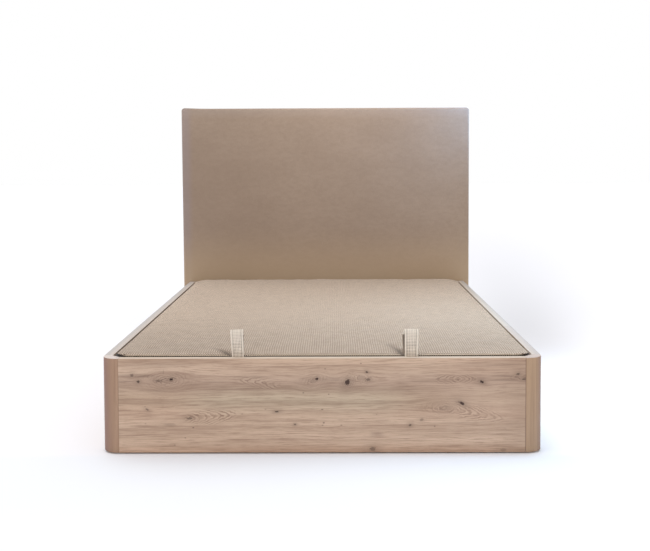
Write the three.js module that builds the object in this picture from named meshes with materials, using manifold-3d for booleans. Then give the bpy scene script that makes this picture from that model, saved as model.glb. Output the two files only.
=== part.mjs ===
// Storage bed with a lift-up lid and an upholstered headboard. Millimetres, +X right, +Y to the head, +Z up.
// The origin lies on the floor, below the middle of the whole bed.

import * as THREE from 'three';
import * as BufferGeometryUtils from 'three/addons/utils/BufferGeometryUtils.js';
import Module from 'manifold-3d';

const wasm = await Module();
wasm.setup();

// Overall sizes
const bedWidth = 1414;
const boxLength = 1956;
const boxHeight = 308;
const headboardWidth = 1470;
const headboardHeight = 1200;
const headboardDepth = 70;

// Box boards and posts
const panelThickness = 28;
const postLeg = 56;
const postRadius = 50;
const postSteps = 10;
const glideHeight = 4;
const glideRadius = 12;
const glideEndInset = 133;

// Storage floor
const ledgeSize = 20;
const ledgeBottom = 8;
const ledgeEndClearance = 7;
const floorBoardThickness = 10;
const floorBoardCount = 3;
const floorBoardGap = 1;
const floorSupportWidth = 60;

// Lid
const lidGap = 4;
const lidRearGap = 10;
const tubeSize = 30;
const tubeWall = 1.5;
const tubeInset = 7;
const frontTubeEndInset = 57;
const lidBoardThickness = 12;
const lidBoardInset = 1;
const lidCornerRadius = 45;
const lidPadThickness = 12;
const lidPadEdgeRadius = 7;
const lidPadCrown = 4;
const crossTubeCount = 2;
const pivotBelowBoard = 30;

// Hinges and gas springs
const pivotAhead = 200;
const plateThickness = 3;
const pinRadius = 6;
const pinCollarRadius = 10;
const armNoseRadius = 16;
const armEyeRadius = 14;
const armTopDrop = 4;
const springLowerDrop = 150;
const springUpperReach = 280;
const springUpperDrop = 20;
const springPlaneInset = 22.5;
const springStudRadius = 5;
const springBodyRadius = 10;
const springBoreRadius = 4.6;
const springRodRadius = 4;
const springEyeRadius = 9;
const springEyeWidth = 12;
const springBodyStart = 14;
const springBodyEnd = 228;
const springBoreStart = 95;
const springEngagement = 22;
const lidOpenAngle = THREE.MathUtils.degToRad(50);
const basePlateLength = 60;
const basePlateOverhang = 22;
const basePlateCornerRadius = 8;

// Brackets and rest blocks
const bracketThickness = 2;
const bracketLow = 60;
const bracketHigh = 220;
const frontBracketLeg = 54;
const rearBracketLeg = 40;
const restBlockWidth = 60;
const restBlockDepth = 30;
const restBlockHeight = 40;
const restBlockInset = 117;

// Pull straps
const strapWidth = 42;
const strapThickness = 1.2;
const strapCentres = { left: -270, right: 288 };
const strapLoopHeight = 87;
const strapTail = 26;
const clampWidth = 56;
const clampThickness = 3;

// Headboard
const coverWall = 8;
const coverFront = 24;
const coverCornerRadius = 15;
const coverEdgeRadius = 12;
const coverCrown = 3;
const coverBottom = 30;
const frontBoardThickness = 8;
const stileWidth = 37;
const railThickness = 16;
const railHeight = 46;
const uprightThickness = 20;
const uprightWidth = 60;
const uprightToBracket = 39;
const uprightToStile = 10;
const backClothThickness = 1;
const backClothInset = 5;
const boltRadius = 4;
const boltHeadRadius = 9;
const boltHeadHeight = 5;
const boltEngagement = 16;
const boltHeight = 200;

// Clearances
const fitGap = 0.3;
const boltClearance = 0.5;

// Places that follow from the sizes above
const footY = -(boxLength + headboardDepth) / 2;
const boxRearY = footY + boxLength;
const backY = boxRearY + headboardDepth;
const outerX = bedWidth / 2;
const innerX = outerX - panelThickness;
const innerFootY = footY + panelThickness;
const innerHeadY = boxRearY - panelThickness;
const lidHalfWidth = innerX - lidGap;
const lidFootY = innerFootY + lidGap;
const lidHeadY = innerHeadY - lidRearGap;
const lidBoardBottom = boxHeight - 2 - lidBoardThickness;
const tubeBottom = lidBoardBottom - tubeSize;
const tubeOuterX = lidHalfWidth - tubeInset;
const tubeInnerX = tubeOuterX - tubeSize;
const floorBottom = ledgeBottom + ledgeSize;
const pivot = { y: lidHeadY - pivotAhead, z: lidBoardBottom - pivotBelowBoard };
const frameHalf = headboardWidth / 2 - coverWall - fitGap;
const insideStile = frameHalf - stileWidth - uprightToStile - uprightWidth / 2;
const insideBracket = innerX - rearBracketLeg - uprightToBracket;
const uprightCentre = Math.min(insideStile, insideBracket);
const springPlaneX = innerX - springPlaneInset;
const lowerStud = { y: pivot.y, z: pivot.z - springLowerDrop };
const upperStud = { y: pivot.y - springUpperReach, z: pivot.z - springUpperDrop };
const sides = [{ name: 'left', sign: -1 }, { name: 'right', sign: 1 }];

const materials = {
  oakBoard: new THREE.MeshStandardMaterial({ color: 0xae9c8b, roughness: 0.62, metalness: 0 }),
  oakPost: new THREE.MeshStandardMaterial({ color: 0xa78a75, roughness: 0.58, metalness: 0 }),
  pine: new THREE.MeshStandardMaterial({ color: 0xd2b48c, roughness: 0.75, metalness: 0 }),
  floorBoard: new THREE.MeshStandardMaterial({ color: 0xe2ddd4, roughness: 0.7, metalness: 0 }),
  plywood: new THREE.MeshStandardMaterial({ color: 0xc9a877, roughness: 0.75, metalness: 0 }),
  blackSteel: new THREE.MeshStandardMaterial({ color: 0x25272a, roughness: 0.45, metalness: 0.6 }),
  zincSteel: new THREE.MeshStandardMaterial({ color: 0xb9bdc0, roughness: 0.35, metalness: 0.9 }),
  springBody: new THREE.MeshStandardMaterial({ color: 0x1b1c1e, roughness: 0.3, metalness: 0.5 }),
  chromeRod: new THREE.MeshStandardMaterial({ color: 0xe3e5e8, roughness: 0.1, metalness: 1 }),
  nylon: new THREE.MeshStandardMaterial({ color: 0x6b6660, roughness: 0.6, metalness: 0 }),
  lidFabric: new THREE.MeshStandardMaterial({ color: 0xc5b4a4, roughness: 0.95, metalness: 0 }),
  headboardFabric: new THREE.MeshStandardMaterial({ color: 0x9d8a7b, roughness: 0.95, metalness: 0 }),
  webbing: new THREE.MeshStandardMaterial({ color: 0xd8cbbb, roughness: 0.9, metalness: 0 }),
  backCloth: new THREE.MeshStandardMaterial({ color: 0x2b2b2d, roughness: 1, metalness: 0 }),
};

const bed = new THREE.Group();
const box = new THREE.Group();
const lid = new THREE.Group();
const headboard = new THREE.Group();
bed.add(box, lid, headboard);

function addMesh(group, name, geometry, material) {
  const mesh = new THREE.Mesh(geometry, material);
  mesh.name = name;
  group.add(mesh);
  return mesh;
}

// A rectangular block between two corners
function addBlock(group, name, material, [x0, x1], [y0, y1], [z0, z1]) {
  const width = Math.abs(x1 - x0);
  const geometry = new THREE.BoxGeometry(width, y1 - y0, z1 - z0);
  const mesh = addMesh(group, name, geometry, material);
  mesh.position.set((x0 + x1) / 2, (y0 + y1) / 2, (z0 + z1) / 2);
  return mesh;
}

function extrude(shape, depth, curveSegments = 12) {
  return new THREE.ExtrudeGeometry(shape, { depth, bevelEnabled: false, curveSegments });
}

// Shape drawn in Y and Z, extruded along X between two places
function prismAlongX(shape, x0, x1) {
  const geometry = extrude(shape, Math.abs(x1 - x0));
  geometry.applyMatrix4(new THREE.Matrix4().set(0, 0, 1, 0, 1, 0, 0, 0, 0, 1, 0, 0, 0, 0, 0, 1));
  return geometry.translate(Math.min(x0, x1), 0, 0);
}

// Shape drawn in X and Z, extruded along Y between two places
function prismAlongY(shape, y0, y1) {
  return extrude(shape, y1 - y0).rotateX(Math.PI / 2).translate(0, y1, 0);
}

// Shape drawn in X and Y, extruded upwards
function prismAlongZ(shape, z0, z1) {
  return extrude(shape, z1 - z0).translate(0, 0, z0);
}

function polygon(points) {
  return new THREE.Shape(points.map(([u, v]) => new THREE.Vector2(u, v)));
}

function rectangle([u0, u1], [v0, v1]) {
  return polygon([[u0, v0], [u1, v0], [u1, v1], [u0, v1]]);
}

function roundHole(u, v, radius) {
  return new THREE.Path().absarc(u, v, radius, 0, Math.PI * 2, true);
}

function roundedRectangle([u0, u1], [v0, v1], radius) {
  const shape = new THREE.Shape();
  shape.absarc(u1 - radius, v0 + radius, radius, -Math.PI / 2, 0, false);
  shape.absarc(u1 - radius, v1 - radius, radius, 0, Math.PI / 2, false);
  shape.absarc(u0 + radius, v1 - radius, radius, Math.PI / 2, Math.PI, false);
  shape.absarc(u0 + radius, v0 + radius, radius, Math.PI, Math.PI * 1.5, false);
  shape.closePath();
  return shape;
}

// Bare geometry with shared vertices, as the solid operations need it
function welded(geometry) {
  const bare = geometry.clone();
  bare.deleteAttribute('normal');
  bare.deleteAttribute('uv');
  return BufferGeometryUtils.mergeVertices(bare, 1e-4);
}

function solid(geometry) {
  const bare = welded(geometry);
  const vertProperties = Float32Array.from(bare.attributes.position.array);
  const triVerts = Uint32Array.from(bare.index.array);
  return new wasm.Manifold(new wasm.Mesh({ numProp: 3, vertProperties, triVerts }));
}

function geometryOf(manifold) {
  const { vertProperties, triVerts } = manifold.getMesh();
  const geometry = new THREE.BufferGeometry();
  geometry.setAttribute('position', new THREE.BufferAttribute(Float32Array.from(vertProperties), 3));
  geometry.setIndex(new THREE.BufferAttribute(Uint32Array.from(triVerts), 1));
  geometry.computeVertexNormals();
  return geometry;
}

// A solid turned about the Y axis from a profile of [radius, height] points that rises along the outside
function lathe(profile, segments = 24) {
  return new THREE.LatheGeometry(profile.map(([r, h]) => new THREE.Vector2(r, h)), segments);
}

function cylinderAlongX(radius, x0, x1, segments = 24) {
  const low = Math.min(x0, x1);
  const high = Math.max(x0, x1);
  const geometry = new THREE.CylinderGeometry(radius, radius, high - low, segments);
  return geometry.rotateZ(Math.PI / 2).translate((low + high) / 2, 0, 0);
}

function cylinderAlongY(radius, y0, y1, segments = 24) {
  return new THREE.CylinderGeometry(radius, radius, y1 - y0, segments).translate(0, (y0 + y1) / 2, 0);
}

// One outline of a padded slab: a rounded rectangle at one level
function roundedRing(halfU, halfV, radius, level, cornerSteps) {
  const corners = [[1, -1, -90], [1, 1, 0], [-1, 1, 90], [-1, -1, 180]];
  return corners.flatMap(([u, v, start]) => Array.from({ length: cornerSteps + 1 }, (_, k) => {
    const angle = THREE.MathUtils.degToRad(start + 90 * k / cornerSteps);
    const cu = u * (halfU - radius) + radius * Math.cos(angle);
    const cv = v * (halfV - radius) + radius * Math.sin(angle);
    return [cu, cv, level];
  }));
}

// A closed skin over outlines stacked from low to high, each with the same count of points
function skinOver(rings) {
  const count = rings[0].length;
  const positions = rings.flat(2);
  const index = [];
  for (let r = 0; r + 1 < rings.length; r += 1) {
    for (let k = 0; k < count; k += 1) {
      const a = r * count + k;
      const b = r * count + (k + 1) % count;
      index.push(a, b, b + count, a, b + count, a + count);
    }
  }
  const bottomCentre = positions.length / 3;
  const topCentre = bottomCentre + 1;
  const top = (rings.length - 1) * count;
  positions.push(0, 0, rings[0][0][2], 0, 0, rings[rings.length - 1][0][2]);
  for (let k = 0; k < count; k += 1) {
    const next = (k + 1) % count;
    index.push(bottomCentre, next, k);
    index.push(topCentre, top + k, top + next);
  }
  const geometry = new THREE.BufferGeometry();
  geometry.setAttribute('position', new THREE.Float32BufferAttribute(positions, 3));
  geometry.setIndex(index);
  geometry.computeVertexNormals();
  return geometry;
}

// A padded slab: flat underside, drawn-in foot, rounded edge and a low crown
function paddedSlab({ halfU, halfV, cornerRadius, thickness, edgeRadius, crown, tuck }) {
  const cornerSteps = 6;
  const edgeSteps = 5;
  const crownSteps = 7;
  const innerRadius = 20;
  const core = Math.min(halfU, halfV) - edgeRadius - innerRadius;
  const ringAt = (inset, level) => {
    const radius = Math.max(cornerRadius - inset, Math.min(cornerRadius, innerRadius) * 0.5);
    return roundedRing(halfU - inset, halfV - inset, radius, level, cornerSteps);
  };
  const rings = [ringAt(tuck, 0)];
  for (let k = 0; k <= edgeSteps; k += 1) {
    const angle = Math.PI / 2 * k / edgeSteps;
    const level = thickness - edgeRadius + edgeRadius * Math.sin(angle);
    rings.push(ringAt(edgeRadius * (1 - Math.cos(angle)), level));
  }
  for (let k = 1; k <= crownSteps; k += 1) {
    const share = k / crownSteps;
    rings.push(ringAt(edgeRadius + share * core, thickness + crown * (1 - (1 - share) ** 2)));
  }
  return skinOver(rings);
}

// The smallest convex outline round a set of points
function convexOutline(points) {
  const sorted = [...points].sort((a, b) => a[0] - b[0] || a[1] - b[1]);
  const turn = (o, a, b) => (a[0] - o[0]) * (b[1] - o[1]) - (a[1] - o[1]) * (b[0] - o[0]);
  const halfHull = (list) => {
    const hull = [];
    for (const p of list) {
      while (hull.length > 1 && turn(hull[hull.length - 2], hull[hull.length - 1], p) <= 1e-6) hull.pop();
      hull.push(p);
    }
    return hull.slice(0, -1);
  };
  return [...halfHull(sorted), ...halfHull(sorted.reverse())];
}

function circlePoints(u, v, radius, steps = 24) {
  return Array.from({ length: steps }, (_, k) => {
    const angle = Math.PI * 2 * k / steps;
    return [u + radius * Math.cos(angle), v + radius * Math.sin(angle)];
  });
}

// Front panel and rear panel; the rear one has the holes of the headboard bolts
function addCrossPanels() {
  const frontHalf = outerX - postLeg;
  addBlock(box, 'front_panel', materials.oakBoard,
    [-frontHalf, frontHalf], [footY, innerFootY], [glideHeight, boxHeight]);
  const rear = rectangle([-innerX, innerX], [glideHeight, boxHeight]);
  rear.holes = sides.map(({ sign }) => roundHole(sign * uprightCentre, boltHeight, boltRadius + boltClearance));
  addMesh(box, 'rear_panel', prismAlongY(rear, innerHeadY, boxRearY), materials.oakBoard);
}

function addSidePanels() {
  for (const { name, sign } of sides) {
    addBlock(box, `${name}_side_panel`, materials.oakBoard,
      [sign * innerX, sign * outerX], [footY + postLeg, boxRearY], [glideHeight, boxHeight]);
  }
}

// A point near a foot corner, from its distances inward from the side and from the foot
function footCorner(sign, fromSide, fromFoot) {
  return [sign * (outerX - fromSide), footY + fromFoot];
}

// Corner posts: quarter round outside, cut off flat inside
function addCornerPosts() {
  for (const { name, sign } of sides) {
    const points = [];
    for (let k = 0; k <= postSteps; k += 1) {
      const angle = Math.PI / 2 * k / postSteps;
      const fromSide = postRadius * (1 - Math.sin(angle));
      const fromFoot = postRadius * (1 - Math.cos(angle));
      points.push(footCorner(sign, fromSide, fromFoot));
    }
    points.push(footCorner(sign, 0, postLeg));
    points.push(footCorner(sign, panelThickness, postLeg));
    points.push(footCorner(sign, postLeg, panelThickness));
    points.push(footCorner(sign, postLeg, 0));
    const geometry = prismAlongZ(polygon(points), glideHeight, boxHeight);
    addMesh(box, `${name}_corner_post`, geometry, materials.oakPost);
  }
}

function addGlides() {
  for (const { name, sign } of sides) {
    for (const [end, y] of [['front', footY + glideEndInset], ['rear', boxRearY - glideEndInset]]) {
      const geometry = new THREE.CylinderGeometry(glideRadius, glideRadius, glideHeight, 24);
      geometry.rotateX(Math.PI / 2);
      const mesh = addMesh(box, `${name}_${end}_glide`, geometry, materials.nylon);
      mesh.position.set(sign * (outerX - panelThickness / 2), y, glideHeight / 2);
    }
  }
}

// Ledges screwed to the panels; the floor boards lie on them
function addLedges() {
  const heights = [ledgeBottom, floorBottom];
  const footEnd = footY + postLeg + ledgeEndClearance;
  for (const { name, sign } of sides) {
    addBlock(box, `${name}_ledge`, materials.pine, [sign * (innerX - ledgeSize), sign * innerX],
      [footEnd, innerHeadY], heights);
  }
  const frontHalf = outerX - postLeg - ledgeEndClearance;
  addBlock(box, 'front_ledge', materials.pine, [-frontHalf, frontHalf],
    [innerFootY, innerFootY + ledgeSize], heights);
  const rearHalf = innerX - ledgeSize - fitGap;
  addBlock(box, 'rear_ledge', materials.pine, [-rearHalf, rearHalf],
    [innerHeadY - ledgeSize, innerHeadY], heights);
}

// Floor boards laid across the box, cut off at the foot corners to pass the posts and their brackets
function addFloorBoards() {
  const halfWidth = innerX - floorBoardGap;
  const start = innerFootY + floorBoardGap;
  const end = innerHeadY - floorBoardGap;
  const pitch = (end - start + floorBoardGap) / floorBoardCount;
  const cornerCut = postLeg - panelThickness + floorBoardGap * 2;
  for (let k = 0; k < floorBoardCount; k += 1) {
    const y0 = start + k * pitch;
    const y1 = y0 + pitch - floorBoardGap;
    const cut = k === 0 ? cornerCut : 0;
    const outline = [[-halfWidth + cut, y0], [halfWidth - cut, y0], [halfWidth, y0 + cut], [halfWidth, y1],
      [-halfWidth, y1], [-halfWidth, y0 + cut]];
    const corners = cut > 0 ? outline : [outline[0], outline[1], outline[3], outline[4]];
    const geometry = prismAlongZ(polygon(corners), floorBottom, floorBottom + floorBoardThickness);
    addMesh(box, `floor_board_${k + 1}`, geometry, materials.floorBoard);
  }
  const halfSupport = innerX - ledgeSize - fitGap;
  for (let k = 1; k < floorBoardCount; k += 1) {
    const joint = start + k * pitch - floorBoardGap / 2;
    addBlock(box, `floor_support_${k}`, materials.pine, [-halfSupport, halfSupport],
      [joint - floorSupportWidth / 2, joint + floorSupportWidth / 2], [0, floorBottom]);
  }
}

// Bent plates behind the corner posts and angles in the head corners
function addBrackets() {
  const postCut = postLeg + panelThickness;
  const outerBend = postCut + fitGap * Math.SQRT2 - panelThickness;
  const innerEdge = panelThickness + bracketThickness;
  const innerBend = outerBend + panelThickness + bracketThickness * Math.SQRT2 - innerEdge;
  const legEnd = postLeg + frontBracketLeg;
  for (const { name, sign } of sides) {
    const front = [[panelThickness, legEnd], [panelThickness, outerBend], [outerBend, panelThickness],
      [legEnd, panelThickness], [legEnd, innerEdge], [innerBend, innerEdge], [innerEdge, innerBend],
      [innerEdge, legEnd]];
    const frontOutline = polygon(front.map(([a, b]) => footCorner(sign, a, b)));
    addMesh(box, `${name}_front_bracket`, prismAlongZ(frontOutline, bracketLow, bracketHigh),
      materials.zincSteel);
    const rear = [[0, 0], [rearBracketLeg, 0], [rearBracketLeg, bracketThickness],
      [bracketThickness, bracketThickness], [bracketThickness, rearBracketLeg], [0, rearBracketLeg]];
    const rearOutline = polygon(rear.map(([a, b]) => [sign * (innerX - a), innerHeadY - b]));
    addMesh(box, `${name}_rear_bracket`, prismAlongZ(rearOutline, bracketLow, bracketHigh),
      materials.zincSteel);
  }
}

// Blocks on the front panel that the closed lid lies on
function addRestBlocks() {
  const top = tubeBottom - fitGap;
  for (const { name, sign } of sides) {
    const centre = sign * (outerX - restBlockInset);
    addBlock(box, `${name}_rest_block`, materials.pine,
      [centre - restBlockWidth / 2, centre + restBlockWidth / 2],
      [innerFootY, innerFootY + restBlockDepth], [top - restBlockHeight, top]);
  }
}

function addLidFrame() {
  const heights = [tubeBottom, lidBoardBottom];
  const section = (u0, u1) => {
    const shape = rectangle([u0, u1], heights);
    const inner = [[u0 + tubeWall, tubeBottom + tubeWall], [u1 - tubeWall, tubeBottom + tubeWall],
      [u1 - tubeWall, lidBoardBottom - tubeWall], [u0 + tubeWall, lidBoardBottom - tubeWall]];
    shape.holes.push(new THREE.Path(inner.map(([u, v]) => new THREE.Vector2(u, v))));
    return shape;
  };
  const frontRear = lidFootY + tubeSize;
  for (const { name, sign } of sides) {
    const [u0, u1] = [sign * tubeInnerX, sign * tubeOuterX].sort((a, b) => a - b);
    addMesh(lid, `lid_${name}_tube`, prismAlongY(section(u0, u1), frontRear, lidHeadY),
      materials.blackSteel);
  }
  const frontHalf = outerX - frontTubeEndInset;
  addMesh(lid, 'lid_front_tube', prismAlongX(section(lidFootY, frontRear), -frontHalf, frontHalf),
    materials.blackSteel);
  addMesh(lid, 'lid_rear_tube', prismAlongX(section(lidHeadY - tubeSize, lidHeadY), -tubeInnerX, tubeInnerX),
    materials.blackSteel);
  const span = lidHeadY - tubeSize - frontRear;
  for (let k = 1; k <= crossTubeCount; k += 1) {
    const y = frontRear + span * k / (crossTubeCount + 1);
    const shape = section(y - tubeSize / 2, y + tubeSize / 2);
    addMesh(lid, `lid_cross_tube_${k}`, prismAlongX(shape, -tubeInnerX, tubeInnerX), materials.blackSteel);
  }
}

function addLidTop() {
  const top = lidBoardBottom + lidBoardThickness;
  const centreY = (lidFootY + lidHeadY) / 2;
  const halfLength = (lidHeadY - lidFootY) / 2;
  const board = roundedRectangle(
    [-lidHalfWidth + lidBoardInset, lidHalfWidth - lidBoardInset],
    [lidFootY + lidBoardInset, lidHeadY - lidBoardInset], lidCornerRadius - lidBoardInset);
  addMesh(lid, 'lid_board', prismAlongZ(board, lidBoardBottom, top), materials.plywood);
  const pad = paddedSlab({
    halfU: lidHalfWidth,
    halfV: halfLength,
    cornerRadius: lidCornerRadius,
    thickness: lidPadThickness,
    edgeRadius: lidPadEdgeRadius,
    crown: lidPadCrown,
    tuck: lidBoardInset,
  });
  const mesh = addMesh(lid, 'lid_pad', pad, materials.lidFabric);
  mesh.position.set(0, centreY, top);
}

// Arm bolted to the outer face of the side tube; it turns on the pivot pin
function addHingeArms() {
  const top = lidBoardBottom - armTopDrop;
  const points = [
    ...circlePoints(pivot.y, pivot.z, armNoseRadius),
    ...circlePoints(upperStud.y, upperStud.z, armEyeRadius),
    [pivot.y + armNoseRadius, top],
    [upperStud.y - armEyeRadius, top],
  ];
  for (const { name, sign } of sides) {
    const shape = polygon(convexOutline(points));
    shape.holes.push(roundHole(pivot.y, pivot.z, pinRadius + fitGap));
    const geometry = prismAlongX(shape, sign * tubeOuterX, sign * (tubeOuterX + plateThickness));
    addMesh(lid, `${name}_hinge_arm`, geometry, materials.blackSteel);
  }
}

// Base plate on the side panel, with the welded stud of the gas spring and the hole of the pivot pin
function addBasePlates() {
  const plateInner = innerX - plateThickness;
  for (const { name, sign } of sides) {
    const shape = roundedRectangle([pivot.y - basePlateLength / 2, pivot.y + basePlateLength / 2],
      [lowerStud.z - basePlateOverhang, pivot.z + basePlateOverhang], basePlateCornerRadius);
    shape.holes.push(roundHole(pivot.y, pivot.z, pinRadius + fitGap));
    const plate = solid(prismAlongX(shape, sign * plateInner, sign * innerX));
    const studEnd = springPlaneX - springEyeWidth / 2 - 2;
    const stud = cylinderAlongX(springStudRadius, sign * (innerX - 1), sign * studEnd);
    const joined = plate.add(solid(stud.translate(0, lowerStud.y, lowerStud.z)));
    addMesh(box, `${name}_hinge_plate`, geometryOf(joined), materials.blackSteel);
  }
}

// Pivot pin: fixed in the base plate, with a collar that keeps the arm off the plate
function addPivotPins() {
  const inner = tubeOuterX + fitGap;
  const collarInner = tubeOuterX + plateThickness + fitGap;
  const collarOuter = innerX - plateThickness - fitGap;
  const profile = [[0, inner], [pinRadius, inner], [pinRadius, collarInner], [pinCollarRadius, collarInner],
    [pinCollarRadius, collarOuter], [pinRadius, collarOuter], [pinRadius, innerX - fitGap], [0, innerX - fitGap]];
  for (const { name, sign } of sides) {
    const geometry = lathe(profile).rotateZ(-Math.PI / 2);
    const mesh = addMesh(box, `${name}_pivot_pin`, geometry, materials.zincSteel);
    mesh.position.set(0, pivot.y, pivot.z);
    if (sign < 0) mesh.rotation.z = Math.PI;
  }
}

// Distance between the spring's two studs with the lid turned up by an angle
function springLength(angle) {
  const reach = springUpperReach * Math.cos(angle) + springUpperDrop * Math.sin(angle);
  const rise = springUpperReach * Math.sin(angle) - springUpperDrop * Math.cos(angle);
  return Math.hypot(reach, rise + springLowerDrop);
}

// Gas springs, each drawn along +Y from its lower stud and turned into place
function addGasSprings() {
  const closed = springLength(0);
  const rodLength = springLength(lidOpenAngle) - springBodyEnd + springEngagement;
  const slope = Math.atan2(upperStud.z - lowerStud.z, upperStud.y - lowerStud.y);
  const eye = () => solid(cylinderAlongX(springEyeRadius, -springEyeWidth / 2, springEyeWidth / 2));
  const bore = solid(cylinderAlongX(springStudRadius + fitGap, -springEyeWidth, springEyeWidth));
  const neckRadius = springStudRadius + 1;
  for (const { name, sign } of sides) {
    const place = new THREE.Group();
    place.position.set(sign * springPlaneX, lowerStud.y, lowerStud.z);
    place.rotation.x = slope;
    bed.add(place);
    const body = solid(lathe([[0, springBodyStart], [springBodyRadius, springBodyStart],
      [springBodyRadius, springBodyEnd], [springBoreRadius, springBodyEnd],
      [springBoreRadius, springBoreStart], [0, springBoreStart]]));
    const neck = solid(cylinderAlongY(neckRadius, springEyeRadius / 2, springBodyStart + 2));
    const cylinder = body.add(neck).add(eye()).subtract(bore);
    addMesh(place, `${name}_spring_cylinder`, geometryOf(cylinder), materials.springBody);
    const pinEnd = tubeOuterX - fitGap - springPlaneX;
    const pin = solid(cylinderAlongX(springStudRadius, 0, sign * pinEnd));
    const stem = solid(cylinderAlongY(springRodRadius, closed - rodLength, closed).translate(0, -closed, 0));
    const rod = stem.add(eye()).add(pin);
    const mesh = addMesh(place, `${name}_spring_rod`, geometryOf(rod), materials.chromeRod);
    mesh.position.y = closed;
  }
}

// The strap's middle line in Y and Z: under the tube, up the gap, round the loop and back down
function strapPath() {
  const half = strapThickness / 2;
  const rearLeg = lidFootY - fitGap - half;
  const frontLeg = rearLeg - strapThickness - fitGap;
  const upperTail = tubeBottom - fitGap - half;
  const lowerTail = upperTail - strapThickness - fitGap;
  const tailEnd = lidFootY + strapTail;
  const bend = 1.6;
  const wide = bend + strapThickness + fitGap;
  const rise = boxHeight + 6;
  const belly = boxHeight + strapLoopHeight * 0.72;
  const crest = boxHeight + strapLoopHeight - half;
  const bellyRear = rearLeg + 15;
  const pull = (crest - belly) / 0.75;
  const v = (y, z) => new THREE.Vector2(y, z);
  const path = new THREE.Path();
  path.moveTo(tailEnd, upperTail);
  path.lineTo(rearLeg + bend, upperTail);
  path.absarc(rearLeg + bend, upperTail + bend, bend, -Math.PI / 2, Math.PI, true);
  path.lineTo(rearLeg, rise);
  path.curves.push(new THREE.CubicBezierCurve(v(rearLeg, rise), v(rearLeg, rise + 20),
    v(bellyRear, belly - 26), v(bellyRear, belly)));
  path.curves.push(new THREE.CubicBezierCurve(v(bellyRear, belly), v(bellyRear, belly + pull),
    v(frontLeg, belly + pull), v(frontLeg, belly)));
  path.currentPoint.set(frontLeg, belly);
  path.lineTo(frontLeg, lowerTail + wide);
  path.absarc(frontLeg + wide, lowerTail + wide, wide, Math.PI, -Math.PI / 2, false);
  path.lineTo(tailEnd, lowerTail);
  return path;
}

// Band outline: the middle line shifted by half the thickness to each side
function bandOutline(points, thickness) {
  const shifted = (sign) => points.map((point, k) => {
    const before = points[Math.max(k - 1, 0)];
    const after = points[Math.min(k + 1, points.length - 1)];
    const along = after.clone().sub(before).normalize();
    return [point.x - along.y * sign * thickness / 2, point.y + along.x * sign * thickness / 2];
  });
  return polygon([...shifted(1), ...shifted(-1).reverse()]);
}

function distinct(points) {
  return points.filter((point, k) => k === 0 || point.distanceTo(points[k - 1]) > 1e-3);
}

function addPullStraps() {
  const outline = bandOutline(distinct(strapPath().getPoints(8)), strapThickness);
  const clampTop = tubeBottom - 2 * strapThickness - 3 * fitGap;
  for (const { name } of sides) {
    const centre = strapCentres[name];
    const geometry = prismAlongX(outline, centre - strapWidth / 2, centre + strapWidth / 2);
    addMesh(lid, `${name}_pull_strap`, geometry, materials.webbing);
    addBlock(lid, `${name}_strap_clamp`, materials.zincSteel,
      [centre - clampWidth / 2, centre + clampWidth / 2],
      [lidFootY + 2, lidFootY + tubeSize], [clampTop - clampThickness, clampTop]);
  }
}

// Headboard: padded cover like a shallow tray over a timber frame
function addHeadboardCover() {
  const rim = backY - backClothThickness;
  const halfWidth = headboardWidth / 2;
  const halfHeight = (headboardHeight - coverBottom) / 2;
  const middle = coverBottom + halfHeight;
  const skin = paddedSlab({
    halfU: halfWidth,
    halfV: halfHeight,
    cornerRadius: coverCornerRadius,
    thickness: rim - boxRearY - coverCrown,
    edgeRadius: coverEdgeRadius,
    crown: coverCrown,
    tuck: 0,
  });
  skin.rotateX(Math.PI / 2).translate(0, rim, middle);
  const cavityFront = boxRearY + coverFront;
  const cavityHalf = halfWidth - coverWall;
  const cavityTop = headboardHeight - coverWall;
  const cavity = prismAlongY(rectangle([-cavityHalf, cavityHalf], [coverBottom - 20, cavityTop]),
    cavityFront, rim + 20);
  let cover = solid(skin).subtract(solid(cavity));
  for (const { sign } of sides) {
    const hole = cylinderAlongY(boltRadius + boltClearance, boxRearY - 10, cavityFront + 10);
    cover = cover.subtract(solid(hole.translate(sign * uprightCentre, 0, boltHeight)));
  }
  addMesh(headboard, 'headboard_cover', geometryOf(cover), materials.headboardFabric);
  const cloth = [[-halfWidth + backClothInset, halfWidth - backClothInset],
    [coverBottom + backClothInset, headboardHeight - backClothInset]];
  addBlock(headboard, 'headboard_back_cloth', materials.backCloth, cloth[0], [rim, backY], cloth[1]);
}

function addHeadboardFrame() {
  const boardY = boxRearY + coverFront + fitGap;
  const railY = boardY + frontBoardThickness;
  const uprightY = railY + railThickness;
  const frameBack = uprightY + uprightThickness;
  const top = headboardHeight - coverWall - fitGap;
  const board = rectangle([-frameHalf, frameHalf], [coverBottom, top]);
  board.holes = sides.map(({ sign }) => roundHole(sign * uprightCentre, boltHeight, boltRadius + boltClearance));
  addMesh(headboard, 'headboard_front_board', prismAlongY(board, boardY, railY), materials.plywood);
  for (const { name, sign } of sides) {
    addBlock(headboard, `headboard_${name}_stile`, materials.pine,
      [sign * (frameHalf - stileWidth), sign * frameHalf], [railY, frameBack], [coverBottom, top]);
    const centre = sign * uprightCentre;
    const upright = rectangle([centre - uprightWidth / 2, centre + uprightWidth / 2], [0, top]);
    upright.holes.push(roundHole(centre, boltHeight, boltRadius + boltClearance));
    addMesh(headboard, `headboard_${name}_upright`, prismAlongY(upright, uprightY, frameBack), materials.pine);
  }
  const railHalf = frameHalf - stileWidth;
  for (const [name, low] of [['bottom', coverBottom], ['top', top - railHeight]]) {
    addBlock(headboard, `headboard_${name}_rail`, materials.pine,
      [-railHalf, railHalf], [railY, uprightY], [low, low + railHeight]);
  }
}

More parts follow.
